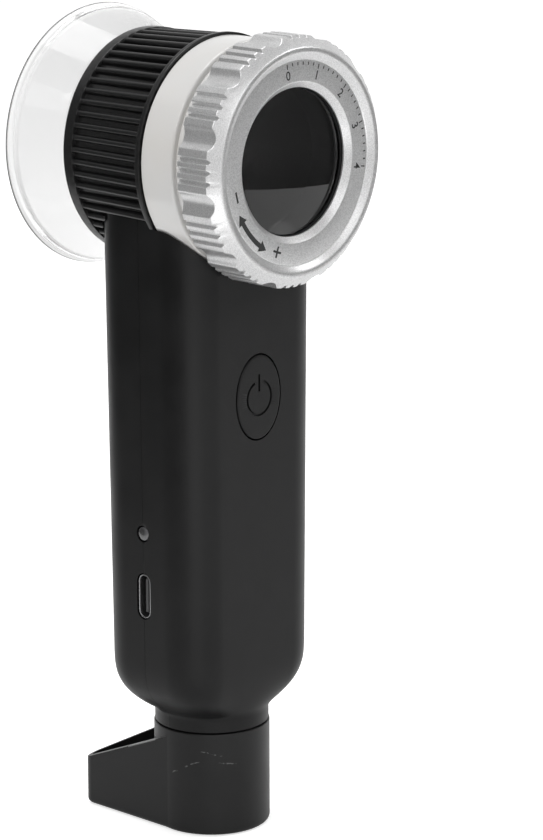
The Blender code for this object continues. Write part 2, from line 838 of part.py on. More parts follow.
def lens_outline(edge_back, edge_front):
    front = []
    back = []
    for ring in range(lens_rings):
        share = ring / lens_rings
        front.append((lens_radius * share, edge_front + lens_bulge_front * (1 - share ** 2)))
        back.append((lens_radius * share, edge_back - lens_bulge_back * (1 - share ** 2)))
    return front + [(lens_radius, edge_front), (lens_radius, edge_back)] + back[::-1]


def make_lenses(glass_surface, metal_surface):
    turned("eye_lens", lens_outline(eye_edge_back, eye_edge_front), steps_plain, glass_surface, optical_axis)
    turned("field_lens", lens_outline(field_edge_back, field_edge_front), steps_plain, glass_surface,
           optical_axis)
    spacer = ring_outline(lens_radius - spacer_wall, lens_radius, spacer_back, spacer_front)
    turned("lens_spacer", spacer, steps_plain, metal_surface, optical_axis)
    back = lens_ring_front - lens_ring_thickness
    retaining = ring_outline(lens_radius - lens_ring_wall, lens_radius, back, lens_ring_front)
    turned("lens_retaining_ring", retaining, steps_plain, metal_surface, optical_axis)


def make_lights(shield_surface, board_surface, led_surface, diffuser_surface):
    tube_inner = shield_radius - shield_wall
    shield = [(tube_inner, shield_front), (spigot_radius, shield_front), (spigot_radius, shield_back),
              (shield_radius, shield_back), (shield_radius, diffuser_back), (tube_inner, diffuser_back)]
    turned("light_shield", shield, steps_plain, shield_surface, optical_axis)
    board_inner = shield_radius + clearance
    board = ring_outline(board_inner, spigot_radius - clearance, board_back, board_front)
    turned("light_board", board, steps_plain, board_surface, optical_axis)
    diffuser = ring_outline(board_inner, skirt_plug_bore - clearance, diffuser_back,
                            diffuser_back + diffuser_thickness)
    turned("light_diffuser", diffuser, steps_plain, diffuser_surface, optical_axis)
    led_top = board_back - clearance
    led_place = (board_inner + skirt_plug_bore) / 2
    shape = bmesh.new()
    add_block(shape, (-led_size / 2, -led_length / 2, led_top - led_height),
              (led_size / 2, led_length / 2, led_top))
    led_mesh = shape_mesh("led", shape)
    for index in range(led_count):
        angle = 2 * math.pi * index / led_count
        led = part(f"led_{index + 1}", led_mesh, led_surface, optical_axis)
        led.location = (led_place * math.cos(angle), led_place * math.sin(angle), 0)
        led.rotation_euler = (0, 0, angle)


def make_skirt(surface, glass_surface):
    slope = (skirt_rim_radius - skirt_shoulder_radius) / skirt_length
    back_wall = skirt_shoulder - skirt_back_wall
    seat_radius = skirt_rim_radius - skirt_rim_wall
    seat = skirt_end + glass_seat_depth
    cone_small = skirt_shoulder_radius + slope * skirt_back_wall - skirt_wall
    cone_large = skirt_rim_radius - slope * glass_seat_depth - skirt_wall
    outline = [(skirt_plug_bore, skirt_plug_front), (spigot_radius, skirt_plug_front),
               (spigot_radius, skirt_shoulder), (skirt_shoulder_radius, skirt_shoulder),
               (skirt_rim_radius, skirt_end), (seat_radius, skirt_end), (seat_radius, seat),
               (cone_large, seat), (cone_small, back_wall), (skirt_seat_radius, back_wall),
               (skirt_seat_radius, skirt_seat), (skirt_plug_bore, skirt_seat)]
    turned("clear_skirt", outline, steps_fine, surface, optical_axis)
    glass_front = seat - clearance
    glass = [(0, glass_front), (seat_radius - clearance, glass_front),
             (seat_radius - clearance, glass_front - glass_thickness), (0, glass_front - glass_thickness)]
    turned("scale_glass", glass, steps_fine, glass_surface, optical_axis)


def make_bush(surface):
    low = neck_bottom + clearance
    outline = [(bush_bore, low), (bush_waist, low), (bush_waist, bush_flange_bottom),
               (bush_flange, bush_flange_bottom), (bush_flange, bush_flange_top), (bush_bore, bush_flange_top)]
    bush = turned("swivel_bush", outline, steps_plain, surface)
    notch = bmesh.new()
    half = bush_key_width / 2 + clearance
    add_block(notch, (-half, -bush_flange - overrun, bush_flange_bottom - clearance),
              (half, -bush_waist - clearance, bush_flange_top + overrun))
    cut(bush, cutter("bush_notch", shape_mesh("bush_notch", notch)))


def arm_outline(inset):
    # Straight flanks from near the cylinder to the tip, the arm along local +Y
    root_radius = foot_radius - arm_root_inset - inset
    tip_radius = arm_tip_radius - inset
    lean = math.asin((root_radius - tip_radius) / arm_reach)
    tip = arc((0, arm_reach), tip_radius, lean, math.pi - lean, 6)
    right = (root_radius * math.cos(lean), root_radius * math.sin(lean))
    return [right] + tip + [(-right[0], right[1])]


def make_foot(surface, steel_surface):
    edge = arc((foot_radius - foot_edge, foot_edge), foot_edge, -math.pi / 2, 0, edge_steps)
    pilot_bottom = swivel_head_bottom - swivel_shank_length - overrun
    post = [(post_radius, foot_height), (post_radius, post_top), (swivel_pilot, post_top),
            (swivel_pilot, pilot_bottom), (0, pilot_bottom)]
    outline = [(0, 0)] + edge + [(foot_radius, foot_height)] + post
    frame = empty("foot_axis", (0, 0, 0), (0, 0, arm_angle))
    foot = turned("swivel_foot", outline, steps_fine, surface, frame)

    rings = []
    for step in range(edge_steps + 1):
        angle = math.pi / 2 * step / edge_steps
        level = foot_edge * (1 - math.cos(angle))
        rings.append([(x, y, level) for x, y in arm_outline(foot_edge * (1 - math.sin(angle)))])
    rings.append([(x, y, foot_height) for x, y in arm_outline(0)])
    arm = cutter("foot_arm", loft_mesh("foot_arm", rings), frame)

    slope_start = foot_radius * (foot_radius - arm_tip_radius) / arm_reach
    fall = math.atan(arm_slope_share)
    wedge = bmesh.new()
    long = arm_reach * 2
    add_block(wedge, (-foot_radius * 2, -long, 0), (foot_radius * 2, long, foot_height * 2))
    bmesh.ops.rotate(wedge, verts=wedge.verts, matrix=Matrix.Rotation(-fall, 3, "X"))
    bmesh.ops.translate(wedge, verts=wedge.verts, vec=(0, slope_start, foot_height - arm_top_drop))
    cut(arm, cutter("foot_arm_top", shape_mesh("foot_arm_top", wedge), frame))
    trough = plate_mesh("foot_arm_trough", arm_outline(arm_wall), arm_floor, foot_height + overrun)
    cut(arm, cutter("foot_arm_trough", trough, frame))
    join(foot, arm)

    washer = ring_outline(swivel_pilot, washer_radius, washer_bottom, washer_bottom + washer_thickness)
    turned("swivel_washer", washer, steps_plain, steel_surface, frame)
    outline = screw_outline(swivel_head_radius, swivel_head_height, swivel_shank_radius, swivel_shank_length)
    make_screw("swivel_screw", outline, (0, 0, swivel_head_bottom), (0, 0, 0), steel_surface)


def settle():
    # Every part keeps its evaluated mesh, with flat faces sharp and round ones smooth
    view = bpy.context.evaluated_depsgraph_get()
    solids = [piece for piece in parts.objects if piece.type == "MESH"]
    meshes = [bpy.data.meshes.new_from_object(piece.evaluated_get(view)) for piece in solids]
    for piece, mesh in zip(solids, meshes):
        piece.modifiers.clear()
        piece.data = mesh
        mesh.shade_smooth()
        mesh.set_sharp_from_angle(angle=math.radians(30))
        print(piece.name, sum(len(face.vertices) - 2 for face in mesh.polygons))


black = finish("black_grip", (0.022, 0.022, 0.024), 0.55)
barrel_black = finish("black_barrel", (0.012, 0.012, 0.013), 0.38)
white = finish("white_collar", (0.82, 0.82, 0.82), 0.25)
silver = finish("silver_ring", (0.62, 0.62, 0.63), 0.38, 0.8)
clear = finish("clear_skirt", (0.88, 0.90, 0.90), 0.08, 0.0, 0.3)
glass = finish("lens_glass", (0.92, 0.95, 0.95), 0.03, 0.0, 0.3)
steel = finish("steel", (0.60, 0.60, 0.61), 0.35, 1.0)
dark_metal = finish("black_metal", (0.02, 0.02, 0.02), 0.5, 0.6)
green = finish("board_green", (0.02, 0.16, 0.08), 0.45)
led_white = finish("led_white", (0.95, 0.93, 0.80), 0.3)
frosted = finish("frosted_diffuser", (0.90, 0.90, 0.90), 0.6)
cell_blue = finish("battery_wrap", (0.10, 0.16, 0.32), 0.4)

optical_axis = empty("optical_axis", (0, 0, axis_height), (math.pi / 2, 0, 0))
front_shell = make_grip_shell("front_shell", black, True)
rear_shell = make_grip_shell("rear_shell", black, False)
button_back = make_button(black)
make_barrel(barrel_black)
make_collar(white)
make_focus_ring(silver, steel)
make_lens_cell(dark_metal)
make_lenses(glass, dark_metal)
make_lights(dark_metal, green, led_white, frosted)
make_skirt(clear, glass)
make_circuit(green, dark_metal, cell_blue, led_white, button_back)
make_usb(steel, barrel_black)
make_light_pipe(frosted)
make_screws(steel)
make_bush(barrel_black)
make_foot(black, steel)
settle()
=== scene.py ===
import math

import bmesh
import bpy
from mathutils import Matrix, Vector


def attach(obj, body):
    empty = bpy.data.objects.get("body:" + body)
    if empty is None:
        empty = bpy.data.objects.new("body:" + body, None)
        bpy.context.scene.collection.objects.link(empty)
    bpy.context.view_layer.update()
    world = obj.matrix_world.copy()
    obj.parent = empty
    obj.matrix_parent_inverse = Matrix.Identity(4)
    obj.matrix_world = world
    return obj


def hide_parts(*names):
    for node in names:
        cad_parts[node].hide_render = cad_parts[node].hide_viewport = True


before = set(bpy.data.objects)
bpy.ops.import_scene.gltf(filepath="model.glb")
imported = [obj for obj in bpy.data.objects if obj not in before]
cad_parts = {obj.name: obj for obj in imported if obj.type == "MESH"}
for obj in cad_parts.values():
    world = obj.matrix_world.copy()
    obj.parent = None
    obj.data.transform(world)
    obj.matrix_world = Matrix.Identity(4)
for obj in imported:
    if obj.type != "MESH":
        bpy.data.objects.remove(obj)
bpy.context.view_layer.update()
print("frame loaded,", len(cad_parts), "nodes")

# Sizes are in millimetres, and in metres in the studio. Angles are in degrees. mm turns a size into metres.
mm = 0.001

# The head's pieces lie along the optical axis. A station counts from the handle's axis towards the eye,
# and an angle counts from +X towards +Z.
head = {"axisHeight": 135.25, "partingOffset": 0.65, "seam": 0.05, "gap": 0.3, "overrun": 2.0}
# Points closer than weld are joined, a rounding takes at most cornerShare of a side, and sharp is an angle
meshing = {"weld": 0.002, "cornerShare": 0.45, "sharp": 32}


# Shader maths

class Wire:
    # A socket that Python's operators work on
    def __init__(self, finish, socket):
        self.finish = finish
        self.socket = socket

    def math(self, operation, first, second=0.0):
        return self.finish.node("ShaderNodeMath", {"operation": operation}, {0: first, 1: second})

    def __add__(self, other):
        return self.math("ADD", self, other)

    def __sub__(self, other):
        return self.math("SUBTRACT", self, other)

    def __rsub__(self, other):
        return self.math("SUBTRACT", other, self)

    def __mul__(self, other):
        return self.math("MULTIPLY", self, other)

    def __gt__(self, other):
        return self.math("GREATER_THAN", self, other)

    def __pow__(self, other):
        return self.math("POWER", self, other)

    def __abs__(self):
        return self.math("ABSOLUTE", self)

    __radd__ = __add__
    __rmul__ = __mul__


class Finish:
    # One material. Constants are set on the shader's own sockets, and node() makes everything else.
    def __init__(self, name, color, roughness, constants=None):
        self.material = bpy.data.materials.new(name)
        self.material.use_nodes = True
        self.tree = self.material.node_tree
        self.shader = self.tree.nodes["Principled BSDF"]
        self.set("Base Color", (*color, 1))
        self.set("Roughness", roughness)
        for socketName, value in (constants or {}).items():
            self.set(socketName, value)

    def set(self, socketName, value):
        self.feed(self.shader.inputs[socketName], value)

    def feed(self, socket, value):
        if isinstance(value, Wire):
            self.tree.links.new(value.socket, socket)
        else:
            socket.default_value = value

    def node(self, kind, settings=None, sockets=None, output=0):
        made = self.tree.nodes.new(kind)
        for name, value in (settings or {}).items():
            setattr(made, name, value)
        for name, value in (sockets or {}).items():
            self.feed(made.inputs[name], value)
        return Wire(self, made.outputs[output])

    def axes(self, source="Object"):
        place = self.node("ShaderNodeTexCoord", output=source)
        return [self.node("ShaderNodeSeparateXYZ", None, {"Vector": place}, axis) for axis in range(3)]

    def noise(self, size, detail=2.0, roughness=0.5, stretch=None):
        # size is the grain's size in millimetres
        place = self.node("ShaderNodeTexCoord", output="Object")
        if stretch:
            place = self.node("ShaderNodeMapping", None, {"Vector": place, "Scale": stretch})
        sockets = {"Vector": place, "Scale": 1 / (size * mm), "Detail": detail, "Roughness": roughness}
        return self.node("ShaderNodeTexNoise", None, sockets)

    def ramp(self, value, low, high):
        # 0 below low, 1 above high
        sockets = {"Value": value, "From Min": low, "From Max": high}
        return self.node("ShaderNodeMapRange", {"clamp": True}, sockets)

    def mixColor(self, share, first, second):
        first, second = [color if isinstance(color, Wire) else (*color, 1) for color in (first, second)]
        return self.node("ShaderNodeMix", {"data_type": "RGBA"}, {0: share, 6: first, 7: second}, 2)

    def bump(self, height, depth):
        # depth is the height's real size in millimetres
        self.set("Normal", self.node("ShaderNodeBump", None, {"Height": height, "Distance": depth * mm}))


# Mesh tools

def headPoint(radius, angle, station):
    turn = math.radians(angle)
    height = head["axisHeight"] + radius * math.sin(turn)
    return (radius * math.cos(turn), -station, height)


def evenSteps(low, high, count):
    return [low + (high - low) * step / count for step in range(count + 1)]


def around(count):
    return evenSteps(0, 360, count)[:-1]


def ovalPoints(center, halfWidth, halfHeight, angles):
    turns = [math.radians(angle) for angle in angles]
    return [(center[0] + halfWidth * math.cos(turn), center[1] + halfHeight * math.sin(turn))
            for turn in turns]


def circlePoints(center, radius, start, end, steps):
    return ovalPoints(center, radius, radius, evenSteps(start, end, steps))


def corners(sizes, *names):
    # Each name picks a corner's radius, its station and, where it has its own, its rounding
    return [[0 if part == "0" else sizes[part] for part in name.split()] for name in names]


def softened(points, radius, steps):
    # A closed outline with each corner rounded. A corner's own rounding may stand third in its point.
    limit = meshing["cornerShare"]
    result = []
    for index, point in enumerate(points):
        here = Vector(point[:2])
        before = Vector(points[index - 1][:2]) - here
        after = Vector(points[(index + 1) % len(points)][:2]) - here
        wanted = point[2] if len(point) > 2 else radius
        if wanted == 0 or here.x == 0:
            result.append(tuple(here))
            continue
        reach = min(wanted, before.length * limit, after.length * limit)
        first = here + before.normalized() * reach
        last = here + after.normalized() * reach
        for share in evenSteps(0, 1, steps):
            bend = first.lerp(here, share).lerp(here.lerp(last, share), share)
            result.append(tuple(bend))
    return result


def bridge(shape, columns, closedAcross):
    rows = [[shape.verts.new([value * mm for value in point]) for point in column] for column in columns]
    for index in range(len(rows) if closedAcross else len(rows) - 1):
        here = rows[index]
        after = rows[(index + 1) % len(rows)]
        for step in range(len(here)):
            following = (step + 1) % len(here)
            shape.faces.new((here[step], after[step], after[following], here[following]))
    return rows


def addLoft(shape, rings):
    # A closed solid through rings of equal point counts
    rows = bridge(shape, rings, False)
    shape.faces.new(rows[0])
    shape.faces.new(rows[-1])


def addRod(shape, radius, start, end, steps=32):
    axis = Vector(end) - Vector(start)
    place = Matrix.Translation((Vector(end) + Vector(start)) / 2 * mm)
    place = place @ axis.to_track_quat("Z", "Y").to_matrix().to_4x4()
    bmesh.ops.create_cone(shape, cap_ends=True, segments=steps, radius1=radius * mm, radius2=radius * mm,
                          depth=axis.length * mm, matrix=place)


def addBlock(shape, low, high, turn=None):
    size = (Vector(high) - Vector(low)) * mm
    center = (Vector(high) + Vector(low)) / 2 * mm
    place = Matrix.Translation(center) @ Matrix.Diagonal((*size, 1))
    bmesh.ops.create_cube(shape, size=1, matrix=turn @ place if turn else place)


def linked(name, data):
    made = bpy.data.objects.new(name, data)
    bpy.context.scene.collection.objects.link(made)
    return made


def plainObject(name, shape, finish=None):
    mesh = bpy.data.meshes.new(name)
    shape.to_mesh(mesh)
    shape.free()
    if finish:
        mesh.materials.append(finish.material)
    return linked(name, mesh)


def shadeSmooth(piece, sharp):
    piece.data.shade_smooth()
    piece.data.set_sharp_from_angle(angle=math.radians(sharp))


def meshObject(name, shape, finish=None, sharp=meshing["sharp"]):
    bmesh.ops.remove_doubles(shape, verts=shape.verts, dist=meshing["weld"] * mm)
    bmesh.ops.dissolve_degenerate(shape, edges=shape.edges, dist=meshing["weld"] * mm / 10)
    bmesh.ops.recalc_face_normals(shape, faces=shape.faces)
    piece = plainObject(name, shape, finish)
    shadeSmooth(piece, sharp)
    return piece


def turnedPiece(name, outline, angles, finish=None, sharp=meshing["sharp"], pointAt=headPoint):
    # The closed outline of (radius, station) may be a function of the angle
    shape = bmesh.new()
    columns = []
    for angle in angles:
        points = outline(angle) if callable(outline) else outline
        columns.append([pointAt(radius, angle, station) for radius, station in points])
    bridge(shape, columns, True)
    return meshObject(name, shape, finish, sharp)


def loftPiece(name, rings, finish=None, sharp=meshing["sharp"]):
    shape = bmesh.new()
    addLoft(shape, rings)
    return meshObject(name, shape, finish, sharp)


def rodPiece(*rods):
    # Each rod is its radius, start, end and, where it isn't 32, its number of sides
    shape = bmesh.new()
    for rod in rods:
        addRod(shape, *rod)
    return meshObject("rods", shape)


def blockPiece(*blocks, name="blocks", finish=None):
    shape = bmesh.new()
    for block in blocks:
        addBlock(shape, *block)
    return meshObject(name, shape, finish)


def combine(piece, tool, operation="DIFFERENCE"):
    change = piece.modifiers.new(operation, "BOOLEAN")
    change.operation = operation
    change.object = tool
    applyAll(piece)
    bpy.data.objects.remove(tool)


def applyAll(piece):
    view = bpy.context.evaluated_depsgraph_get()
    mesh = bpy.data.meshes.new_from_object(piece.evaluated_get(view))
    piece.modifiers.clear()
    piece.data = mesh


def smoothed(piece):
    # Smooth, with the large faces ruling the shading
    shadeSmooth(piece, meshing["sharp"])
    weigh = piece.modifiers.new("weigh", "WEIGHTED_NORMAL")
    weigh.keep_sharp = True
    applyAll(piece)


def bevelled(piece, width, segments=2, angle=40):
    weld = piece.modifiers.new("weld", "WELD")
    weld.merge_threshold = meshing["weld"] * mm
    edges = piece.modifiers.new("edges", "BEVEL")
    edges.width = width * mm
    edges.segments = segments
    edges.limit_method = "ANGLE"
    edges.angle_limit = math.radians(angle)
    edges.use_clamp_overlap = True
    applyAll(piece)
    smoothed(piece)


def seat(piece, body, slotName, *nodes):
    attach(piece, body)
    if nodes:
        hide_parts(*nodes)


# Finishes. grain is the size of the noise, spread is how far it varies the roughness, depth its bump, and
# mottle the part of it over which the colour goes from color to pale.

usualGrain = {"detail": 2.0, "harsh": 0.5, "stretch": None, "spread": 0.1, "constants": {}}
clear = {"roughness": 0.005, "grain": 14.0, "detail": 1.0, "spread": 0.01}
clearBody = {"Transmission Weight": 1.0, "Coat Roughness": 0.02}
brushed = {"grain": 0.08, "stretch": (1, 1, 6), "spread": 0.12, "depth": 0.003,
           "constants": {"Metallic": 1.0}}
finishes = {
    "barrelBlack": {"color": (0.007, 0.007, 0.0072), "roughness": 0.30, "grain": 0.25, "depth": 0.006,
                    "constants": {"Specular IOR Level": 0.45}},
    "collarWhite": {"color": (0.73, 0.725, 0.715), "roughness": 0.185, "grain": 12.0, "spread": 0.05,
                    "pale": (0.73, 0.7141, 0.69), "mottle": (0.35, 0.70),
                    "constants": {"Coat Weight": 0.3, "Coat Roughness": 0.08}},
    "ringSilver": {"color": (0.55, 0.55, 0.552), "roughness": 0.30, "grain": 0.20, "detail": 1.0,
                   "harsh": 0.7, "spread": 0.08, "depth": 0.010, "pale": (0.74, 0.74, 0.742),
                   "mottle": (0.35, 0.65), "constants": {"Metallic": 0.70}},
    "skirtClear": {**clear, "color": (0.765, 0.765, 0.765), "roughness": 0.035,
                   "constants": {**clearBody, "IOR": 1.20, "Coat Weight": 0.2}},
    "windowGlass": {**clear, "color": (0.97, 0.97, 0.97),
                    "constants": {**clearBody, "IOR": 1.20, "Coat Weight": 0.3}},
    # The lens glass is tinted near black: painted shade for the dark look into the eyepiece
    "lensGlass": {**clear, "color": (0.11, 0.11, 0.11),
                  "constants": {**clearBody, "IOR": 1.42, "Coat Weight": 0.1}},
    "printInk": {"color": (0.012, 0.012, 0.012), "roughness": 0.5, "grain": 0.2},
    "plainSteel": {**brushed, "color": (0.58, 0.58, 0.59), "roughness": 0.28},
    # The socket's steel is a darker copy of the plain steel: painted shade for its recessed rim
    "shadedSocketSteel": {**brushed, "color": (0.30, 0.30, 0.305), "roughness": 0.34},
    "blackMetal": {"color": (0.03, 0.03, 0.031), "roughness": 0.40, "grain": 0.12, "depth": 0.004},
    "ledWhite": {"color": (0.93, 0.91, 0.80), "roughness": 0.3, "grain": 0.8, "detail": 1.0, "spread": 0,
                 "pale": (0.86, 0.72, 0.20), "mottle": (0.4, 0.6)},
    "frosted": {"color": (0.86, 0.86, 0.85), "roughness": 0.5, "grain": 0.3, "depth": 0.01,
                "constants": {"Transmission Weight": 0.35}},
    "batteryWrap": {"color": (0.09, 0.15, 0.31), "roughness": 0.35, "grain": 3.0, "detail": 3.0,
                    "stretch": (1, 1, 0.2), "depth": 0.12, "constants": {"Metallic": 0.2}},
    "tongueBlack": {"color": (0.06, 0.06, 0.062), "roughness": 0.45, "grain": 0.3},
}


def grainFinish(name):
    look = {**usualGrain, **finishes[name]}
    finish = Finish(name, look["color"], look["roughness"], look["constants"])
    grain = finish.noise(look["grain"], look["detail"], look["harsh"], look["stretch"])
    if look["spread"]:
        finish.set("Roughness", look["roughness"] - look["spread"] / 2 + grain * look["spread"])
    if "pale" in look:
        share = finish.ramp(grain, *look["mottle"])
        finish.set("Base Color", finish.mixColor(share, look["color"], look["pale"]))
    if "depth" in look:
        finish.bump(grain, look["depth"])
    return finish


# The skirt's clear plastic, with a dark band painted round the outer edge of its rim: painted shade for the
# dark line that bent light draws along that edge
paintedRimShade = {"color": (0.12, 0.12, 0.12), "along": (28.80, 29.00), "out": (25.25, 25.40)}


def skirtFinish():
    finish = grainFinish("skirtClear")
    x, y, z = finish.axes()
    rise = z - head["axisHeight"] * mm
    radius = (x * x + rise * rise) ** 0.5
    along = finish.ramp(y, *[value * mm for value in paintedRimShade["along"]])
    out = finish.ramp(radius, *[value * mm for value in paintedRimShade["out"]])
    # The rim's dark band is painted shade mixed into the base colour
    color = finish.mixColor(along * out, finishes["skirtClear"]["color"], paintedRimShade["color"])
    finish.set("Base Color", color)
    return finish


# Soft black moulding: fine speckle and faint clouds of pale wear
grip = {
    "color": (0.005, 0.005, 0.0052), "pale": (0.008, 0.008, 0.0082), "mottle": (0.38, 0.62),
    "roughness": 0.38, "spread": 0.06, "specular": 0.20, "footSpecular": 0.27,
    "grain": 0.16, "detail": 3.0, "harsh": 0.6, "depth": 0.012, "cloud": 9.0, "cloudShare": 0.65,
    "cloudRange": (0.35, 0.65),
}
# Scratches on the foot's near side, and a pale line along the top edge of its arm that is a painted edge
# highlight.
# Each line is its place across that side, its height, half its length, and its slope.
scratchesAndHighlight = {
    "pale": (0.23, 0.23, 0.23), "faint": 0.6, "side": -46.94, "width": 0.17,
    "waveSize": 1.6, "wave": 0.9, "gapSize": 0.7, "gaps": (0.42, 0.56), "fade": 0.6,
    "lines": ((0.0, 17.0, 2.3, -0.22), (-3.9, 14.6, 1.8, 0.46), (3.2, 14.9, 1.9, -0.12),
              (-7.2, 12.6, 0.6, 0.30)),
    "paintedEdgeHighlight": (-17.8, 14.1, 6.8, 0.5736), "paintedEdgeHighlightFade": 0.95,
}


def scratchMask(finish):
    x, y, z = finish.axes()
    side = math.radians(scratchesAndHighlight["side"])
    across = x * (math.cos(side) / mm) + y * (math.sin(side) / mm)
    near = (x * math.sin(side) - y * math.cos(side)) > 0
    wave = (finish.noise(scratchesAndHighlight["waveSize"], grip["detail"]) - 0.5) * scratchesAndHighlight["wave"]
    gaps = finish.ramp(finish.noise(scratchesAndHighlight["gapSize"]), *scratchesAndHighlight["gaps"])

    def line(place, level, half, slope, bend, fade):
        reach = across - place
        drawn = finish.ramp(abs(z * (1 / mm) + bend - level - reach * slope), scratchesAndHighlight["width"], 0)
        return drawn * finish.ramp(abs(reach), half, half * fade)

    # The first line is the painted highlight along the arm's top edge, and the rest are real scratches
    total = line(*scratchesAndHighlight["paintedEdgeHighlight"], 0, scratchesAndHighlight["paintedEdgeHighlightFade"])
    for sizes in scratchesAndHighlight["lines"]:
        total = total + line(*sizes, wave, scratchesAndHighlight["fade"]) * gaps * scratchesAndHighlight["faint"]
    return total * near


def gripFinish(name, specular, scratchedAndHighlighted):
    finish = Finish(name, grip["color"], grip["roughness"], {"Specular IOR Level": specular})
    grain = finish.noise(grip["grain"], grip["detail"], grip["harsh"])
    cloud = finish.noise(grip["cloud"], grip["detail"])
    worn = grain * (1 - grip["cloudShare"]) + cloud * grip["cloudShare"]
    color = finish.mixColor(finish.ramp(worn, *grip["mottle"]), grip["color"], grip["pale"])
    # Pale scratches, and a painted highlight along the arm's top edge
    if scratchedAndHighlighted:
        color = finish.mixColor(scratchMask(finish), color, scratchesAndHighlight["pale"])
    finish.set("Base Color", color)
    cloud = finish.ramp(cloud, *grip["cloudRange"])
    finish.set("Roughness", grip["roughness"] - grip["spread"] / 2 + cloud * grip["spread"])
    finish.bump(grain, grip["depth"])
    return finish


board = {"color": (0.015, 0.13, 0.06), "trace": (0.03, 0.20, 0.10), "roughness": 0.35, "cell": 1.6,
         "track": (0.10, 0.14), "depth": 0.02}


def boardFinish():
    finish = Finish("boardGreen", board["color"], board["roughness"])
    place = finish.node("ShaderNodeTexCoord", output="Object")
    cells = finish.node("ShaderNodeTexVoronoi", {"distance": "MANHATTAN", "feature": "DISTANCE_TO_EDGE"},
                        {"Vector": place, "Scale": 1 / (board["cell"] * mm)})
    track = finish.ramp(cells, *board["track"])
    finish.set("Base Color", finish.mixColor(track, board["trace"], board["color"]))
    finish.bump(1 - track, board["depth"])
    return finish


# The charge light's dome is painted paler towards its edge, most on the lower front side, with its dark
# middle shifted up and back: a painted highlight for how the light falls on it
chargeLight = {
    "z": 62.3, "radius": 1.36, "gap": 0.3, "outer": -17.95, "inner": -15.2, "dome": 0.27, "domeSteps": 6,
    "steps": 48, "color": (0.03, 0.03, 0.031), "rim": (0.13, 0.13, 0.135), "paintedLightRange": (0.8, 1.8),
    "paintedLightShift": 0.35, "wander": 0.4, "wanderSize": 0.5, "roughness": 0.16,
    "constants": {"Coat Weight": 0.5, "Coat Roughness": 0.05},
}


def lightPipeFinish():
    look = chargeLight
    finish = Finish("lightPipe", look["color"], look["roughness"], look["constants"])
    y, z = finish.axes()[1:]
    across = y - (head["partingOffset"] + look["paintedLightShift"]) * mm
    rise = z - (look["z"] + look["paintedLightShift"]) * mm
    radius = (across * across + rise * rise) ** 0.5 + finish.noise(look["wanderSize"]) * (look["wander"] * mm)
    # Paler colour away from the shifted dark middle: a painted highlight
    share = finish.ramp(radius, *[value * mm for value in look["paintedLightRange"]])
    finish.set("Base Color", finish.mixColor(share, look["color"], look["rim"]))
    return finish


gripBlack = gripFinish("gripBlack", grip["specular"], False)
footBlack = gripFinish("footBlack", grip["footSpecular"], True)
barrelBlack = grainFinish("barrelBlack")
collarWhite = grainFinish("collarWhite")
ringSilver = grainFinish("ringSilver")
skirtClear = skirtFinish()
windowGlass = grainFinish("windowGlass")
lensGlass = grainFinish("lensGlass")
printInk = grainFinish("printInk")
steel = grainFinish("plainSteel")
shadedSocketSteel = grainFinish("shadedSocketSteel")
blackMetal = grainFinish("blackMetal")
boardGreen = boardFinish()
ledWhite = grainFinish("ledWhite")
frosted = grainFinish("frosted")
lightPipe = lightPipeFinish()
batteryWrap = grainFinish("batteryWrap")
tongueBlack = grainFinish("tongueBlack")
print("finishes made")


# Barrel: ribbed, with a flange at each end, and the stem that the handle clamps

barrel = {
    "back": -17.8, "front": 3.7, "bore": 19.5, "groove": 21.2, "edge": 0.15, "frontEdge": 0.2,
    "flangeBack": 22.15, "chamferRadius": 21.35, "chamferEnd": -17.0, "flangeEnd": -14.8,
    "flangeFront": 22.8, "flangeStart": 2.75,
    "crestBack": 22.0, "crestFront": 22.6, "ribStart": -14.75, "ribEnd": 2.7,
    "ribs": 58, "grooveShare": 0.42, "ribPower": 2.3, "phase": 6.8,
    "ribTurns": (12, 26, 40, 53, 65, 76, 84, 90),
    "reliefRadius": 21.0, "ledgeRadius": 18.0, "ledgeBack": -11.6, "ledgeFront": -10.6,
    "stemHalfWidth": 13.0, "stemThickness": 9.0, "stemBottom": 104.0, "stemTop": 122.2, "stemSink": 0.1,
    "stemEdge": 0.3, "holeRadius": 2.9, "holeX": 9.5, "holeZ": 108.0, "holeReach": 20.0, "reach": 40.0,
}


def ribShare(angle):
    # 0 in a groove and up to 1 on the round crest between two grooves
    pitch = 360 / barrel["ribs"]
    turn = ((angle - barrel["phase"]) / pitch) % 1 - 0.5
    across = abs(turn) / (0.5 - barrel["grooveShare"] / 2)
    return max(1 - across ** barrel["ribPower"], 0) ** (1 / barrel["ribPower"])


def ribAngles():
    # Closer steps up the flanks than over the crest
    pitch = 360 / barrel["ribs"]
    half = 0.5 - barrel["grooveShare"] / 2
    bends = [math.sin(math.radians(turn)) for turn in barrel["ribTurns"]]
    shares = sorted([0, 0.5] + [0.5 + side * half * bend for side in (-1, 1) for bend in bends])
    return [barrel["phase"] + pitch * (rib + share) for rib in range(barrel["ribs"]) for share in shares]


def barrelOutline(angle):
    share = ribShare(angle)
    groove = barrel["groove"]
    crests = {name: groove + (barrel[name] - groove) * share for name in ("crestBack", "crestFront")}
    points = corners({**barrel, **crests}, "bore back", "chamferRadius back", "flangeBack chamferEnd",
                     "flangeBack flangeEnd", "crestBack ribStart", "crestFront ribEnd",
                     "flangeFront flangeStart", "flangeFront front frontEdge", "bore front",
                     "bore ledgeFront", "ledgeRadius ledgeFront", "ledgeRadius ledgeBack", "bore ledgeBack")
    return softened(points, barrel["edge"], steps=2)


def axisRod(radius, steps):
    reach = barrel["reach"]
    return rodPiece((radius, (0, -reach, head["axisHeight"]), (0, reach, head["axisHeight"]), steps))


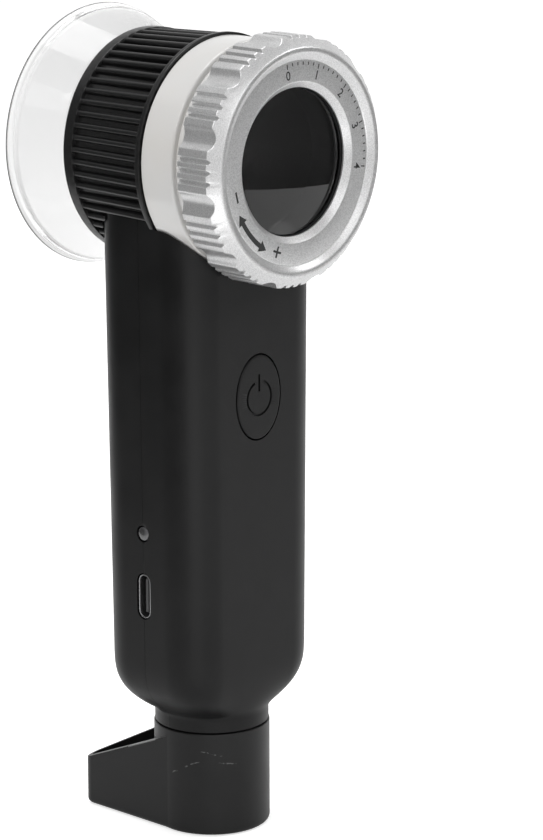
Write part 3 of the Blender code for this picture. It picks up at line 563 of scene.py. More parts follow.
def makeBarrel():
    piece = turnedPiece("barrel_body", barrelOutline, ribAngles(), barrelBlack)
    low = head["axisHeight"] - barrel["flangeFront"] - head["overrun"]
    top = gripTop() + head["overrun"]
    relief = loftPiece("relief", [gripSection(z, -head["gap"]) for z in (low, top)])
    combine(relief, axisRod(barrel["reliefRadius"], steps=180))
    combine(piece, relief)
    smoothed(piece)
    seat(piece, "magnifier", "black_barrel", "barrel_grip")

    near = head["partingOffset"] - barrel["stemThickness"] / 2
    low = (-barrel["stemHalfWidth"], near, barrel["stemBottom"])
    high = (barrel["stemHalfWidth"], near + barrel["stemThickness"], barrel["stemTop"])
    stem = blockPiece((low, high), name="barrel_stem", finish=barrelBlack)
    combine(stem, axisRod(barrel["groove"] - barrel["stemSink"], steps=96))
    places = [(side * barrel["holeX"], barrel["holeZ"]) for side in (-1, 1)]
    reach = barrel["holeReach"]
    combine(stem, rodPiece(*[(barrel["holeRadius"], (x, -reach, z), (x, reach, z)) for x, z in places]))
    bevelled(stem, barrel["stemEdge"])
    seat(stem, "magnifier", "black_barrel")


# Collar: white, glossy, with a fine groove before its neck and the guide tube behind it

collar = {
    "radius": 22.3, "back": 4.0, "front": 12.0, "grooveRadius": 21.0, "grooveEnd": 12.35,
    "neckRadius": 21.4, "neckEnd": 18.2, "guideBore": 18.6, "spigotRadius": 19.2, "spigotBack": -9.2,
    "keyHalfWidth": 1.5, "keyRadius": 19.5, "keyBack": 5.0, "steps": 200,
    "edge": 0.1, "backEdge": 0.25, "frontEdge": 0.55, "neckEdge": 0.2,
}


def makeCollar():
    points = corners(collar, "guideBore spigotBack", "spigotRadius spigotBack", "spigotRadius back",
                     "radius back backEdge", "radius front frontEdge", "grooveRadius front",
                     "grooveRadius grooveEnd", "neckRadius grooveEnd neckEdge",
                     "neckRadius neckEnd neckEdge", "guideBore neckEnd")
    outline = softened(points, collar["edge"], steps=4)
    piece = turnedPiece("light_collar_shell", outline, around(collar["steps"]), collarWhite)
    low = (-collar["keyHalfWidth"], -collar["neckEnd"] - head["overrun"], head["axisHeight"])
    high = (collar["keyHalfWidth"], -collar["keyBack"], head["axisHeight"] + collar["keyRadius"])
    combine(piece, blockPiece((low, high)))
    smoothed(piece)
    seat(piece, "magnifier", "white_collar", "light_collar")


# Focusing ring: scallops with three fine notches between them, and a printed face

ring = {
    "radius": 23.9, "bore": 21.7, "back": 15.0, "knurlFront": 22.3, "chamferFront": 24.2, "rimRadius": 21.8,
    "front": 24.3, "rimOuter": 21.5, "rimInner": 20.8, "lineOuter": 19.55, "lineTop": 23.44,
    "lineInner": 19.4, "lineFloor": 23.26, "faceRadius": 19.2, "face": 23.3, "sinkRadius": 15.3,
    "sinkInner": 14.22, "sink": 22.3, "eyeRadius": 14.1, "eyeFront": 22.2, "eyeBack": 21.8,
    "scallops": 12, "scallopRadius": 3.2, "scallopDepth": 0.9, "scallopEdge": 0.10, "phase": 13.0,
    "steps": 50, "notchSpacing": 5.0, "notchWidth": 0.8, "notchFlank": 0.45, "notchDepth": 0.55,
    "flankSteps": 8,
    "edge": 0.08, "backEdge": 0.12, "outerEdge": 0.15, "rimEdge": 0.3, "lineEdge": 0.05, "softEdge": 0.1,
}


def softMin(first, second, width):
    blend = max(width - abs(first - second), 0) / width
    return min(first, second) - blend * blend * width / 4


def ringRadiusAt(angle):
    # The knurled outer radius: a land, cut by the scallops and the notches
    spacing = 360 / ring["scallops"]
    turn = ((angle - ring["phase"]) / spacing + 0.5) % 1 - 0.5
    offset = math.radians(turn * spacing)
    center = ring["radius"] - ring["scallopDepth"] + ring["scallopRadius"]
    across = center * math.sin(offset)
    radius = ring["radius"]
    if abs(across) < ring["scallopRadius"]:
        dent = center * math.cos(offset) - math.sqrt(ring["scallopRadius"] ** 2 - across ** 2)
        radius = softMin(radius, dent, ring["scallopEdge"])
    between = (turn % 1 - 0.5) * spacing
    for number in (-1, 0, 1):
        side = abs(math.radians(between - number * ring["notchSpacing"])) * ring["radius"]
        share = min(max(((ring["notchWidth"] + ring["notchFlank"]) / 2 - side) / ring["notchFlank"], 0), 1)
        radius = min(radius, ring["radius"] - ring["notchDepth"] * share * share * (3 - 2 * share))
    return radius


def ringAngles():
    # Even steps, and closer ones over each notch's flanks
    spacing = 360 / ring["scallops"]
    offsets = evenSteps(0, spacing, ring["steps"])[:-1]
    for number in (-1, 0, 1):
        middle = spacing / 2 + number * ring["notchSpacing"]
        for share in evenSteps(-0.5, 0.5, ring["flankSteps"]):
            flank = ring["notchWidth"] / 2 + ring["notchFlank"] * share
            offsets += [middle + side * math.degrees(flank / ring["radius"]) for side in (-1, 1)]
    starts = [ring["phase"] + spacing * sector for sector in range(ring["scallops"])]
    return [start + offset for start in starts for offset in sorted(offsets)]


def ringOutline(angle):
    radius = ringRadiusAt(angle)
    slope = (ring["chamferFront"] - ring["knurlFront"]) / (ring["radius"] - ring["rimRadius"])
    crossing = ring["knurlFront"] + (ring["radius"] - radius) * slope
    points = corners({**ring, "radius": radius, "crossing": crossing}, "bore back", "radius back backEdge",
                     "radius crossing outerEdge", "rimRadius chamferFront outerEdge", "rimOuter front",
                     "rimInner front rimEdge", "lineOuter lineTop softEdge", "lineInner lineFloor lineEdge",
                     "faceRadius face lineEdge", "sinkRadius face outerEdge", "sinkInner sink softEdge",
                     "eyeRadius eyeFront", "eyeRadius eyeBack", "bore eyeBack")
    return softened(points, ring["edge"], steps=3)


def makeRing():
    piece = turnedPiece("focus_ring_body", ringOutline, ringAngles(), ringSilver, sharp=40)
    seat(piece, "focusing_ring", "silver_ring", "focus_ring")


# Print on the ring's face: a two-way arrow with minus and plus, and a scale of plain numbers

ringPrint = {
    "lift": 0.02, "thickness": 0.03, "crossLift": 0.004, "overlap": 0.1, "tip": 0.02,
    "arrowRadius": 17.75, "arrowStart": -153.8, "arrowEnd": -119.7, "arrowWidth": 0.95,
    "headLength": 6.2, "headWidth": 2.3,
    "signRadius": 17.2, "minusAngle": -165.0, "plusAngle": -109.5, "signSize": 2.2, "signWidth": 0.42,
    "tickStart": 99.0, "tickEnd": -9.0, "ticks": 25, "tickOuter": 19.0, "tickLong": 0.95, "tickShort": 0.6,
    "tickWidth": 0.24, "numbers": 5, "numberRadius": 16.75, "numberSize": 2.45, "numberWeight": 0.02,
}


def addStrip(shape, start, end, radius, width, steps, growth=0.0, lift=0.0):
    # A flat band of print along the face, which may grow wider on its way
    high = ring["face"] + ringPrint["lift"]
    low = high - ringPrint["thickness"]
    high += lift
    rings = []
    for share in evenSteps(0, 1, steps):
        angle = start + (end - start) * share
        half = (width + growth * share) / 2
        rings.append([headPoint(radius + side * half, angle, station)
                      for side, station in ((-1, low), (1, low), (1, high), (-1, high))])
    addLoft(shape, rings)


def makeMarks():
    look = ringPrint
    shape = bmesh.new()
    radius = look["arrowRadius"]
    start = look["arrowStart"] + look["headLength"]
    end = look["arrowEnd"] - look["headLength"]
    addStrip(shape, start, end, radius, look["arrowWidth"], steps=24)
    heads = ((look["arrowStart"], start + look["overlap"]), (look["arrowEnd"], end - look["overlap"]))
    for tip, root in heads:
        addStrip(shape, tip, root, radius, look["tip"], steps=6, growth=look["headWidth"])
    radius = look["signRadius"]
    half = math.degrees(look["signSize"] / 2 / radius)
    thin = math.degrees(look["signWidth"] / 2 / radius)
    for angle in (look["minusAngle"], look["plusAngle"]):
        addStrip(shape, angle - half, angle + half, radius, look["signWidth"], steps=6)
    addStrip(shape, angle - thin, angle + thin, radius, look["signSize"], steps=2, lift=look["crossLift"])
    thin = math.degrees(look["tickWidth"] / 2 / look["tickOuter"])
    longEvery = (look["ticks"] - 1) // (look["numbers"] - 1)
    for index, angle in enumerate(evenSteps(look["tickStart"], look["tickEnd"], look["ticks"] - 1)):
        length = look["tickLong"] if index % longEvery == 0 else look["tickShort"]
        addStrip(shape, angle - thin, angle + thin, look["tickOuter"] - length / 2, length, steps=1)
    marks = meshObject("ring_print", shape, printInk)
    seat(marks, "focusing_ring", "black_barrel")


def makeNumbers():
    look = ringPrint
    middle = ring["face"] + look["lift"] - look["thickness"] / 2
    for number, angle in enumerate(evenSteps(look["tickStart"], look["tickEnd"], look["numbers"] - 1)):
        words = bpy.data.curves.new("ring_number", "FONT")
        words.body = str(number)
        words.size = look["numberSize"] * mm
        words.extrude = look["thickness"] / 2 * mm
        words.offset = look["numberWeight"] * mm
        words.align_x = "CENTER"
        words.align_y = "CENTER"
        words.resolution_u = 4
        drawn = linked("ring_number", words)
        # Local X runs clockwise round the face and local Y away from its centre
        turn = Matrix.Rotation(math.pi / 2, 4, "X") @ Matrix.Rotation(math.radians(angle - 90), 4, "Z")
        place = Matrix.Translation([value * mm for value in headPoint(look["numberRadius"], angle, middle)])
        drawn.matrix_world = place @ turn
        view = bpy.context.evaluated_depsgraph_get()
        mesh = bpy.data.meshes.new_from_object(drawn.evaluated_get(view))
        mesh.transform(drawn.matrix_world)
        bpy.data.objects.remove(drawn)
        mesh.materials.clear()
        mesh.materials.append(printInk.material)
        seat(linked(f"ring_number_{number}", mesh), "focusing_ring", "black_barrel")


# Lens cell and lenses

cell = {
    "bore": 15.6, "radius": 18.2, "back": 2.0, "flangeBack": 20.6, "flangeRadius": 21.3, "front": 21.5,
    "lipRadius": 14.1, "lipBack": 20.3, "threads": 9, "threadBack": 3.0, "threadFront": 9.5,
    "threadDepth": 0.12, "threadRise": 0.35, "keyHalfWidth": 1.2, "keyTop": 19.2, "keySink": 1.0,
    "keyBack": 6.3, "keyLength": 8.0, "edge": 0.06, "boreEdge": 0.15, "backEdge": 0.3, "steps": 120,
}


def makeCell():
    points = corners(cell, "bore back boreEdge", "radius back backEdge")
    rise = (cell["threadFront"] - cell["threadBack"]) / cell["threads"] * cell["threadRise"]
    places = evenSteps(cell["threadBack"], cell["threadFront"], cell["threads"])
    root = cell["radius"] - cell["threadDepth"]
    for start, end in zip(places, places[1:]):
        points += [(cell["radius"], start), (root, start + rise), (root, end - rise)]
    points += corners(cell, "radius threadFront", "radius flangeBack", "flangeRadius flangeBack",
                      "flangeRadius front", "lipRadius front", "lipRadius lipBack", "bore lipBack")
    outline = softened(points, cell["edge"], steps=2)
    piece = turnedPiece("lens_cell_body", outline, around(cell["steps"]), blackMetal)
    keyBottom = head["axisHeight"] + cell["radius"] - cell["keySink"]
    low = (-cell["keyHalfWidth"], -cell["keyBack"] - cell["keyLength"], keyBottom)
    high = (cell["keyHalfWidth"], -cell["keyBack"], head["axisHeight"] + cell["keyTop"])
    combine(piece, blockPiece((low, high)), "UNION")
    smoothed(piece)
    seat(piece, "lens_unit", "black_metal", "lens_cell")


lens = {
    "radius": 15.3, "edgeBack": 17.5, "edgeFront": 20.0, "bulgeFront": 0.9, "bulgeBack": 1.2, "rings": 16,
    "fieldBack": 7.4, "fieldFront": 9.9, "stepRadius": 13.85, "stepRise": 1.3, "steps": 96,
}


def lensOutline(edgeBack, edgeFront, stepRadius, stepRise):
    # The front may stand on a step, so that it fills the cell's lip
    front = []
    back = []
    for share in evenSteps(0, 1, lens["rings"])[:-1]:
        front.append((stepRadius * share, edgeFront + stepRise + lens["bulgeFront"] * (1 - share ** 2)))
        back.append((lens["radius"] * share, edgeBack - lens["bulgeBack"] * (1 - share ** 2)))
    edge = [(stepRadius, edgeFront + stepRise), (stepRadius, edgeFront)] if stepRise else []
    return front + edge + [(lens["radius"], edgeFront), (lens["radius"], edgeBack)] + back[::-1]


def makeLenses():
    eye = lensOutline(lens["edgeBack"], lens["edgeFront"], lens["stepRadius"], lens["stepRise"])
    field = lensOutline(lens["fieldBack"], lens["fieldFront"], lens["radius"], 0)
    for name, outline in (("eye_lens", eye), ("field_lens", field)):
        piece = turnedPiece(name + "_glass", outline, around(lens["steps"]), lensGlass)
        seat(piece, "lens_unit", "lens_glass", name)


# Clear skirt and the scale on its window

skirt = {
    "plugRadius": 19.2, "plugBore": 17.8, "plugFront": -13.4, "shoulderRadius": 21.45, "shoulder": -18.1,
    "rimRadius": 25.8, "rimInner": 24.2, "end": -29.4, "ledge": -27.9, "wall": 1.8, "backWall": -19.3,
    "seatRadius": 16.9, "seat": -17.5, "steps": 200,
    "edge": 0.08, "shoulderEdge": 0.3, "rimEdge": 0.35, "innerEdge": 0.2, "coneEdge": 0.6,
}
scale = {"station": -28.17, "lineWidth": 0.09, "reach": 10.0, "ticks": 20, "tickLength": 0.8, "tickLong": 1.6,
         "longEvery": 5, "thickness": 0.02}


def makeSkirt():
    slope = (skirt["rimRadius"] - skirt["shoulderRadius"]) / (skirt["shoulder"] - skirt["end"])
    coneSmall = skirt["shoulderRadius"] + slope * (skirt["shoulder"] - skirt["backWall"]) - skirt["wall"]
    coneLarge = skirt["rimRadius"] - slope * (skirt["ledge"] - skirt["end"]) - skirt["wall"]
    points = corners({**skirt, "coneSmall": coneSmall, "coneLarge": coneLarge},
                     "plugBore plugFront", "plugRadius plugFront", "plugRadius shoulder",
                     "shoulderRadius shoulder shoulderEdge", "rimRadius end rimEdge",
                     "rimInner end innerEdge", "rimInner ledge", "coneLarge ledge",
                     "coneSmall backWall coneEdge", "seatRadius backWall innerEdge", "seatRadius seat",
                     "plugBore seat")
    outline = softened(points, skirt["edge"], steps=4)
    piece = turnedPiece("clear_skirt_shell", outline, around(skirt["steps"]), skirtClear)
    seat(piece, "magnifier", "clear_skirt", "clear_skirt")


def makeScale():
    width = scale["lineWidth"] / 2
    lines = [(-scale["reach"], -width, scale["reach"], width)]
    for index in range(-scale["ticks"] // 2, scale["ticks"] // 2 + 1):
        along = scale["reach"] * 2 * index / scale["ticks"]
        length = (scale["tickLong"] if index % scale["longEvery"] == 0 else scale["tickLength"]) / 2
        if index:
            lines.append((along - width, -length, along + width, length))
    near = -scale["station"]
    blocks = []
    for axis in (0, 90):
        turn = Matrix.Rotation(math.radians(axis), 4, "Y")
        turn.translation.z = head["axisHeight"] * mm
        blocks += [((x1, near - scale["thickness"], z1), (x2, near, z2), turn) for x1, z1, x2, z2 in lines]
    seat(blockPiece(*blocks, name="scale_marks", finish=printInk), "magnifier", "lens_glass")


# Handle: a rounded box that narrows to a round neck, in two shells

handle = {
    "halfWidthLow": 18.0, "halfWidthTop": 18.7, "taperLow": 40.0, "taperTop": 124.0,
    "front": -13.0, "backLow": 13.9, "backTop": 14.5, "corner": 8.0, "wall": 2.0,
    "neckRadius": 11.3, "neckBottom": 21.3, "shoulderBottom": 24.3, "shoulderTop": 36.8,
    "shoulderPower": 3.15, "shoulderFillet": 0.16, "shoulderReach": 0.08, "shoulderRings": 36,
    "bodyRings": 16, "cornerSteps": 14, "flatSteps": 12, "edge": 0.18,
    "floor": 26.1, "bushBore": 8.9, "saddleRadius": 21.3, "collarSaddle": 22.6, "saddleStep": 3.7,
    "saddleSteps": 240, "bossRadius": 2.6, "screwX": 9.5, "screwHeights": (108.0, 38.0),
    "postX": 10.0, "postZ": 70.0, "postRadius": 2.2, "boardFront": -2.58,
    "pilotRadius": 1.3, "headRadius": 2.4, "headDepth": 4.0,
    "pilotSides": 24, "headSides": 48, "lightSides": 64, "bushSides": 96,
}
button = {
    "z": 88.5, "width": 12.0, "height": 16.6, "front": -13.2, "gap": 0.3, "flange": 1.0,
    "flangeFront": -10.7, "flangeBack": -9.9, "round": 0.35, "roundSteps": 6, "dish": 0.02, "edge": 0.05,
    "steps": 96, "symbolZ": 88.35, "symbolRadius": 3.55, "symbolStroke": 0.5, "symbolGap": 22.0,
    "symbolSteps": 60, "barLow": 89.6, "barHigh": 93.0, "engraved": 0.35, "above": 1.0, "wallLean": 0.1,
    "floorShare": 0.7,
}
socket = {
    "z": 49.7, "width": 8.94, "height": 3.26, "mouth": -17.88, "depth": 7.3, "wall": 0.3, "gap": 0.2,
    "tongueWidth": 6.7, "tongueThickness": 0.7, "tongueLength": 6.0, "tongueEdge": 0.12,
    "pads": 6, "padWidth": 0.55, "padLength": 4.6, "padSetback": 0.4, "padHeight": 0.03,
    "steps": 12, "mouthSteps": 8,
}


def taperShare(z):
    return (z - handle["taperLow"]) / (handle["taperTop"] - handle["taperLow"])


def gripHalfWidth(z):
    return handle["halfWidthLow"] + (handle["halfWidthTop"] - handle["halfWidthLow"]) * taperShare(z)


def gripBack(z):
    return handle["backLow"] + (handle["backTop"] - handle["backLow"]) * taperShare(z)


def gripTop():
    return head["axisHeight"] - math.sqrt(barrel["reliefRadius"] ** 2 - handle["halfWidthTop"] ** 2)


def roundShare(z):
    # 0 for the rounded box and 1 for the neck, with a soft inner corner between the two
    depth = (handle["shoulderTop"] - z) / (handle["shoulderTop"] - handle["shoulderBottom"])
    return softMin(max(depth, 0) ** handle["shoulderPower"], 1, handle["shoulderFillet"])


def gripSection(z, inset):
    # Rounded box blended into the neck's circle
    halfWidth = gripHalfWidth(z) - inset
    front = handle["front"] + inset
    back = gripBack(z) - inset
    corner = handle["corner"] - inset
    middle = (back + front) / 2
    cornerX = halfWidth - corner
    cornerY = (back - front) / 2 - corner
    bends = []
    for start, sideX, sideY in ((0, 1, 1), (90, -1, 1), (180, -1, -1), (270, 1, -1)):
        center = (sideX * cornerX, sideY * cornerY)
        bends.append(circlePoints(center, corner, start, start + 90, handle["cornerSteps"]))
    outline = []
    for bend, following in zip(bends, bends[1:] + bends[:1]):
        outline += bend
        for share in evenSteps(0, 1, handle["flatSteps"])[1:-1]:
            outline.append(tuple(Vector(bend[-1]).lerp(Vector(following[0]), share)))
    rounded = roundShare(z)
    points = []
    for x, y in outline:
        reach = (handle["neckRadius"] - inset) / math.hypot(x, y)
        blendX = x + (x * reach - x) * rounded
        blendY = y + middle + (y * reach - y - middle) * rounded
        points.append((blendX, blendY, z))
    return points


def gripSolid(name, low, high, inset, finish=None):
    top = handle["shoulderTop"]
    reach = (top - handle["shoulderBottom"]) * handle["shoulderReach"]
    first = max(low, handle["shoulderBottom"] - reach)
    levels = [low] if low < first else []
    levels += evenSteps(first, top, handle["shoulderRings"])[:-1]
    levels += evenSteps(top, high, handle["bodyRings"])
    return loftPiece(name, [gripSection(z, inset) for z in levels], finish)


def saddle():
    ends = {"near": head["overrun"] - handle["front"], "far": -head["overrun"] - handle["backTop"]}
    points = corners({**handle, **ends}, "0 far", "saddleRadius far", "saddleRadius saddleStep",
                     "collarSaddle saddleStep", "collarSaddle near", "0 near")
    return turnedPiece("saddle", points, around(handle["saddleSteps"]))


def slotRing(inset, x):
    # The socket's outline, long side upright
    radius = socket["height"] / 2 - inset
    straight = (socket["width"] - socket["height"]) / 2
    points = []
    for side, start in ((1, 0), (-1, 180)):
        center = (head["partingOffset"], socket["z"] + side * straight)
        points += circlePoints(center, radius, start, start + 180, socket["steps"])
    return [(x, y, z) for y, z in points]


def buttonRing(extra, y):
    halfWidth = button["width"] / 2 + extra
    halfHeight = button["height"] / 2 + extra
    points = ovalPoints((0, button["z"]), halfWidth, halfHeight, around(button["steps"]))
    return [(x, y, z) for x, z in points]


def screwPlaces():
    return [(side * handle["screwX"], z) for z in handle["screwHeights"] for side in (-1, 1)]


def screwSeat(z):
    return gripBack(z) - handle["headDepth"]


def makeShell(name, front, node):
    over = head["overrun"]
    wall = handle["wall"]
    middle = head["partingOffset"]
    inward = 1 if front else -1
    facing = middle - inward * head["seam"] / 2
    outer = handle["front"] if front else handle["backLow"]
    under = outer + inward * wall / 2
    piece = gripSolid(name, handle["neckBottom"], gripTop(), 0, gripBlack)
    combine(piece, gripSolid("cavity", handle["floor"], gripTop() + over, wall))

    # Bosses for the screws, posts for the board, and their holes
    screws = sorted(screwPlaces())
    rods = [(handle["bossRadius"], (x, under, z), (x, facing, z)) for x, z in screws]
    if front:
        posts = [(side * handle["postX"], handle["postZ"]) for side in (-1, 1)]
        rods += [(handle["postRadius"], (x, under, z), (x, handle["boardFront"], z)) for x, z in posts]
    combine(piece, rodPiece(*rods), "UNION")
    pilots = []
    sinks = []
    for x, z in screws:
        near = outer + wall if front else facing - over
        far = facing + over if front else screwSeat(z) + head["gap"]
        pilots.append((handle["pilotRadius"], (x, near, z), (x, far, z), handle["pilotSides"]))
        ends = [(x, y, z) for y in (screwSeat(z), handle["backTop"] + over)]
        sinks.append((handle["headRadius"], *ends, handle["headSides"]))
    combine(piece, rodPiece(*pilots))
    if not front:
        combine(piece, rodPiece(*sinks))

    # Openings: the light and the socket at the side, the barrel's saddle, the bush and the button
    side = -handle["halfWidthTop"] - over
    inside = over - handle["halfWidthLow"] + wall
    radius = chargeLight["radius"] + chargeLight["gap"]
    ends = [(x, middle, chargeLight["z"]) for x in (side, inside)]
    combine(piece, rodPiece((radius, *ends, handle["lightSides"])))
    combine(piece, loftPiece("slot", [slotRing(-socket["gap"], x) for x in (side, inside)]))
    combine(piece, saddle())
    low = handle["neckBottom"] - over
    ends = [(0, 0, z) for z in (low, handle["floor"] + over)]
    combine(piece, rodPiece((handle["bushBore"], *ends, handle["bushSides"])))
    if front:
        ends = (handle["front"] - over, handle["front"] + wall + over)
        combine(piece, loftPiece("buttonHole", [buttonRing(button["gap"], y) for y in ends]))
    bevelled(piece, handle["edge"])

    # The other half comes off
    wide = handle["halfWidthTop"] + over
    away = handle["backTop"] + over if front else handle["front"] - over
    combine(piece, blockPiece(((-wide, min(facing, away), low), (wide, max(facing, away), gripTop() + over))))
    smoothed(piece)
    seat(piece, "magnifier", "black_grip", node)


def makeButton():
    # An oval key with a round edge and an engraved power sign
    soft = button["round"]
    rings = [buttonRing(button["flange"], button["flangeBack"]),
             buttonRing(button["flange"], button["flangeFront"]), buttonRing(0, button["flangeFront"])]
    for turn in evenSteps(0, math.pi / 2, button["roundSteps"]):
        rings.append(buttonRing(soft * (math.cos(turn) - 1), button["front"] + soft * (1 - math.sin(turn))))
    rings.append(buttonRing(-button["width"] / 4, button["front"] - button["dish"]))
    piece = loftPiece("power_button_key", rings, gripBlack)

    # Each stroke is a groove with leaning walls, drawn as its place across and its depth
    half = button["symbolStroke"] / 2
    wide = half + button["wallLean"]
    narrow = half * button["floorShare"]
    deep = button["engraved"]
    above = -button["above"]
    groove = [(-wide, above), (-half, 0), (-narrow, deep), (narrow, deep), (half, 0), (wide, above)]
    groove = [(across, button["front"] + down) for across, down in groove]
    middle = button["symbolRadius"] - half
    rings = []
    for angle in evenSteps(90 + button["symbolGap"], 450 - button["symbolGap"], button["symbolSteps"]):
        turn = math.radians(angle)
        rings.append([((middle + across) * math.cos(turn), y,
                       button["symbolZ"] + (middle + across) * math.sin(turn)) for across, y in groove])
    combine(piece, loftPiece("powerRing", rings))
    rings = [[(across, y, z) for across, y in groove] for z in (button["barLow"], button["barHigh"])]
    combine(piece, loftPiece("powerBar", rings))
    bevelled(piece, button["edge"], angle=50)
    seat(piece, "button", "black_grip", "power_button")


def makeSocket():
    end = socket["mouth"] + socket["depth"]
    wall = socket["wall"]
    center = (wall / 2, socket["mouth"] + wall / 2)
    mouth = circlePoints(center, wall / 2, 180, 360, socket["mouthSteps"])
    rings = [slotRing(*place) for place in [(0, end), *mouth, (wall, end - wall)]]
    shell = loftPiece("usb_shell", rings, shadedSocketSteel, sharp=60)
    seat(shell, "magnifier", "steel", "usb_socket")

    tongueEnd = end - wall - head["gap"]
    start = tongueEnd - socket["tongueLength"]
    y = head["partingOffset"]
    thick = socket["tongueThickness"] / 2
    wide = socket["tongueWidth"] / 2
    block = ((start, y - thick, socket["z"] - wide), (tongueEnd, y + thick, socket["z"] + wide))
    tongue = blockPiece(block, name="usb_tongue_blade", finish=tongueBlack)
    bevelled(tongue, socket["tongueEdge"])
    seat(tongue, "magnifier", "black_barrel", "usb_tongue")

    start += socket["padSetback"]
    pitch = socket["tongueWidth"] / (socket["pads"] + 1)
    half = socket["padWidth"] / 2
    height = socket["padHeight"]
    blocks = []
    for low in (y - thick - height, y + thick):
        for index in range(socket["pads"]):
            z = socket["z"] + (index - (socket["pads"] - 1) / 2) * pitch
            blocks.append(((start, low, z - half), (start + socket["padLength"], low + height, z + half)))
    seat(blockPiece(*blocks, name="usb_pads", finish=steel), "magnifier", "steel")


def makeChargeLight():
    # A short light pipe with a low dome
    look = chargeLight
    sizes = [(look["radius"], look["inner"])]
    for turn in evenSteps(0, math.pi / 2, look["domeSteps"])[:-1]:
        sizes.append((look["radius"] * math.cos(turn), look["outer"] - look["dome"] * math.sin(turn)))
    center = (head["partingOffset"], look["z"])
    angles = around(look["steps"])
    rings = [[(x, y, z) for y, z in ovalPoints(center, radius, radius, angles)] for radius, x in sizes]
    piece = loftPiece("charge_light_pipe", rings, lightPipe, sharp=60)
    seat(piece, "magnifier", "frosted_diffuser", "charge_light")


# Screws

screw = {
    "headRadius": 2.1, "headHeight": 1.6, "crownRadius": 1.26, "shoulder": 0.88, "shankRadius": 1.0,
    "tipStart": -15.2, "tip": -16.0, "socketRadius": 1.1, "socketDepth": 0.9, "socketAbove": 1.0,
    "threads": 20, "threadStart": -1.0, "thread": 0.35, "threadDepth": 0.12, "steps": 32,
    "edge": 0.05, "crownEdge": 0.2, "shoulderEdge": 0.5, "seatEdge": 0.1,
}


def screwOutline():
    points = corners(screw, "0 headHeight", "crownRadius headHeight crownEdge",
                     "headRadius shoulder shoulderEdge", "headRadius 0 seatEdge", "shankRadius 0")
    shank = screw["shankRadius"]
    for index in range(screw["threads"]):
        along = screw["threadStart"] - index * screw["thread"] * 2
        points += [(shank, along, 0), (shank - screw["threadDepth"], along - screw["thread"], 0)]
    return softened(points + corners(screw, "shankRadius tipStart", "0 tip"), screw["edge"], steps=3)


def makeScrews():
    # Round heads with a six-sided socket, from the rear
    outline = screwOutline()
    for number, (x, z) in enumerate(screwPlaces(), start=1):
        seatPlace = screwSeat(z) + head["gap"]

        def screwPoint(radius, angle, station):
            turn = math.radians(angle)
            return (x + radius * math.cos(turn), seatPlace + station, z + radius * math.sin(turn))

        name = f"shell_screw_body_{number}"
        piece = turnedPiece(name, outline, around(screw["steps"]), steel, pointAt=screwPoint)
        top = seatPlace + screw["headHeight"]
        ends = [(x, y, z) for y in (top - screw["socketDepth"], top + screw["socketAbove"])]
        combine(piece, rodPiece((screw["socketRadius"], *ends, 6)))
        smoothed(piece)
        seat(piece, "magnifier", "steel", f"shell_screw_{number}")


# Foot: cylinder with a low hollow arm and the post that turns in the neck

foot = {
    "radius": 11.5, "height": 21.0, "edge": 1.0, "edgeSteps": 6, "topEdge": 0.25, "armReach": 24.6,
    "tipRadius": 2.5, "tipSteps": 16, "angle": 21.3, "topDrop": 1.1, "slope": 0.45, "wall": 1.05,
    "floor": 2.0, "rootInset": 0.1, "postRadius": 5.0, "postTop": 28.7, "pilotRadius": 1.7,
    "pilotBottom": 19.1, "innerEdge": 0.1, "postEdge": 0.2, "bevel": 0.28, "steps": 128,
    "cutter": (30, 60, 30),
}


def footPoint(radius, angle, z):
    turn = math.radians(angle)
    return (radius * math.cos(turn), radius * math.sin(turn), z)


def armRing(inset, z):
    root = foot["radius"] - foot["rootInset"] - inset
    tip = foot["tipRadius"] - inset
    lean = math.asin((root - tip) / foot["armReach"])
    start = math.degrees(lean)
    end = circlePoints((0, foot["armReach"]), tip, start, 180 - start, foot["tipSteps"])
    x, y = (root * math.cos(lean), root * math.sin(lean))
    turn = Matrix.Rotation(math.radians(foot["angle"]), 3, "Z")
    return [tuple(turn @ Vector((*point, z))) for point in [(x, y), *end, (-x, y)]]


def armTop():
    # What the sloping top of the arm takes away
    place = foot["radius"] * (foot["radius"] - foot["tipRadius"]) / foot["armReach"]
    turn = Matrix.Rotation(math.radians(foot["angle"]), 4, "Z")
    turn = turn @ Matrix.Translation((0, place * mm, (foot["height"] - foot["topDrop"]) * mm))
    turn = turn @ Matrix.Rotation(-math.atan(foot["slope"]), 4, "X")
    x, y, z = foot["cutter"]
    return blockPiece(((-x, -y, 0), (x, y, z), turn))


def makeFoot():
    points = corners(foot, "0 0", "radius 0 edge", "radius height topEdge", "postRadius height",
                     "postRadius postTop postEdge", "pilotRadius postTop", "pilotRadius pilotBottom",
                     "0 pilotBottom")
    outline = softened(points, foot["innerEdge"], steps=6)
    piece = turnedPiece("swivel_foot_body", outline, around(foot["steps"]), footBlack, pointAt=footPoint)
    rings = []
    for turn in evenSteps(0, math.pi / 2, foot["edgeSteps"]):
        rings.append(armRing(foot["edge"] * (1 - math.sin(turn)), foot["edge"] * (1 - math.cos(turn))))
    rings.append(armRing(0, foot["height"]))
    arm = loftPiece("arm", rings, footBlack)
    combine(arm, armTop())
    ends = (foot["floor"], foot["height"] + head["overrun"])
    combine(arm, loftPiece("trough", [armRing(foot["wall"], z) for z in ends]))
    combine(piece, arm, "UNION")
    bevelled(piece, foot["bevel"], segments=3)
    seat(piece, "foot", "black_grip", "swivel_foot")


makeBarrel()
makeCollar()
makeRing()
makeMarks()
makeNumbers()
makeCell()
makeLenses()
makeSkirt()
makeScale()
print("head made")
makeShell("front_shell_body", True, "front_shell")
makeShell("rear_shell_body", False, "rear_shell")
makeButton()
makeSocket()
makeChargeLight()
makeScrews()
makeFoot()
print("handle and foot made")

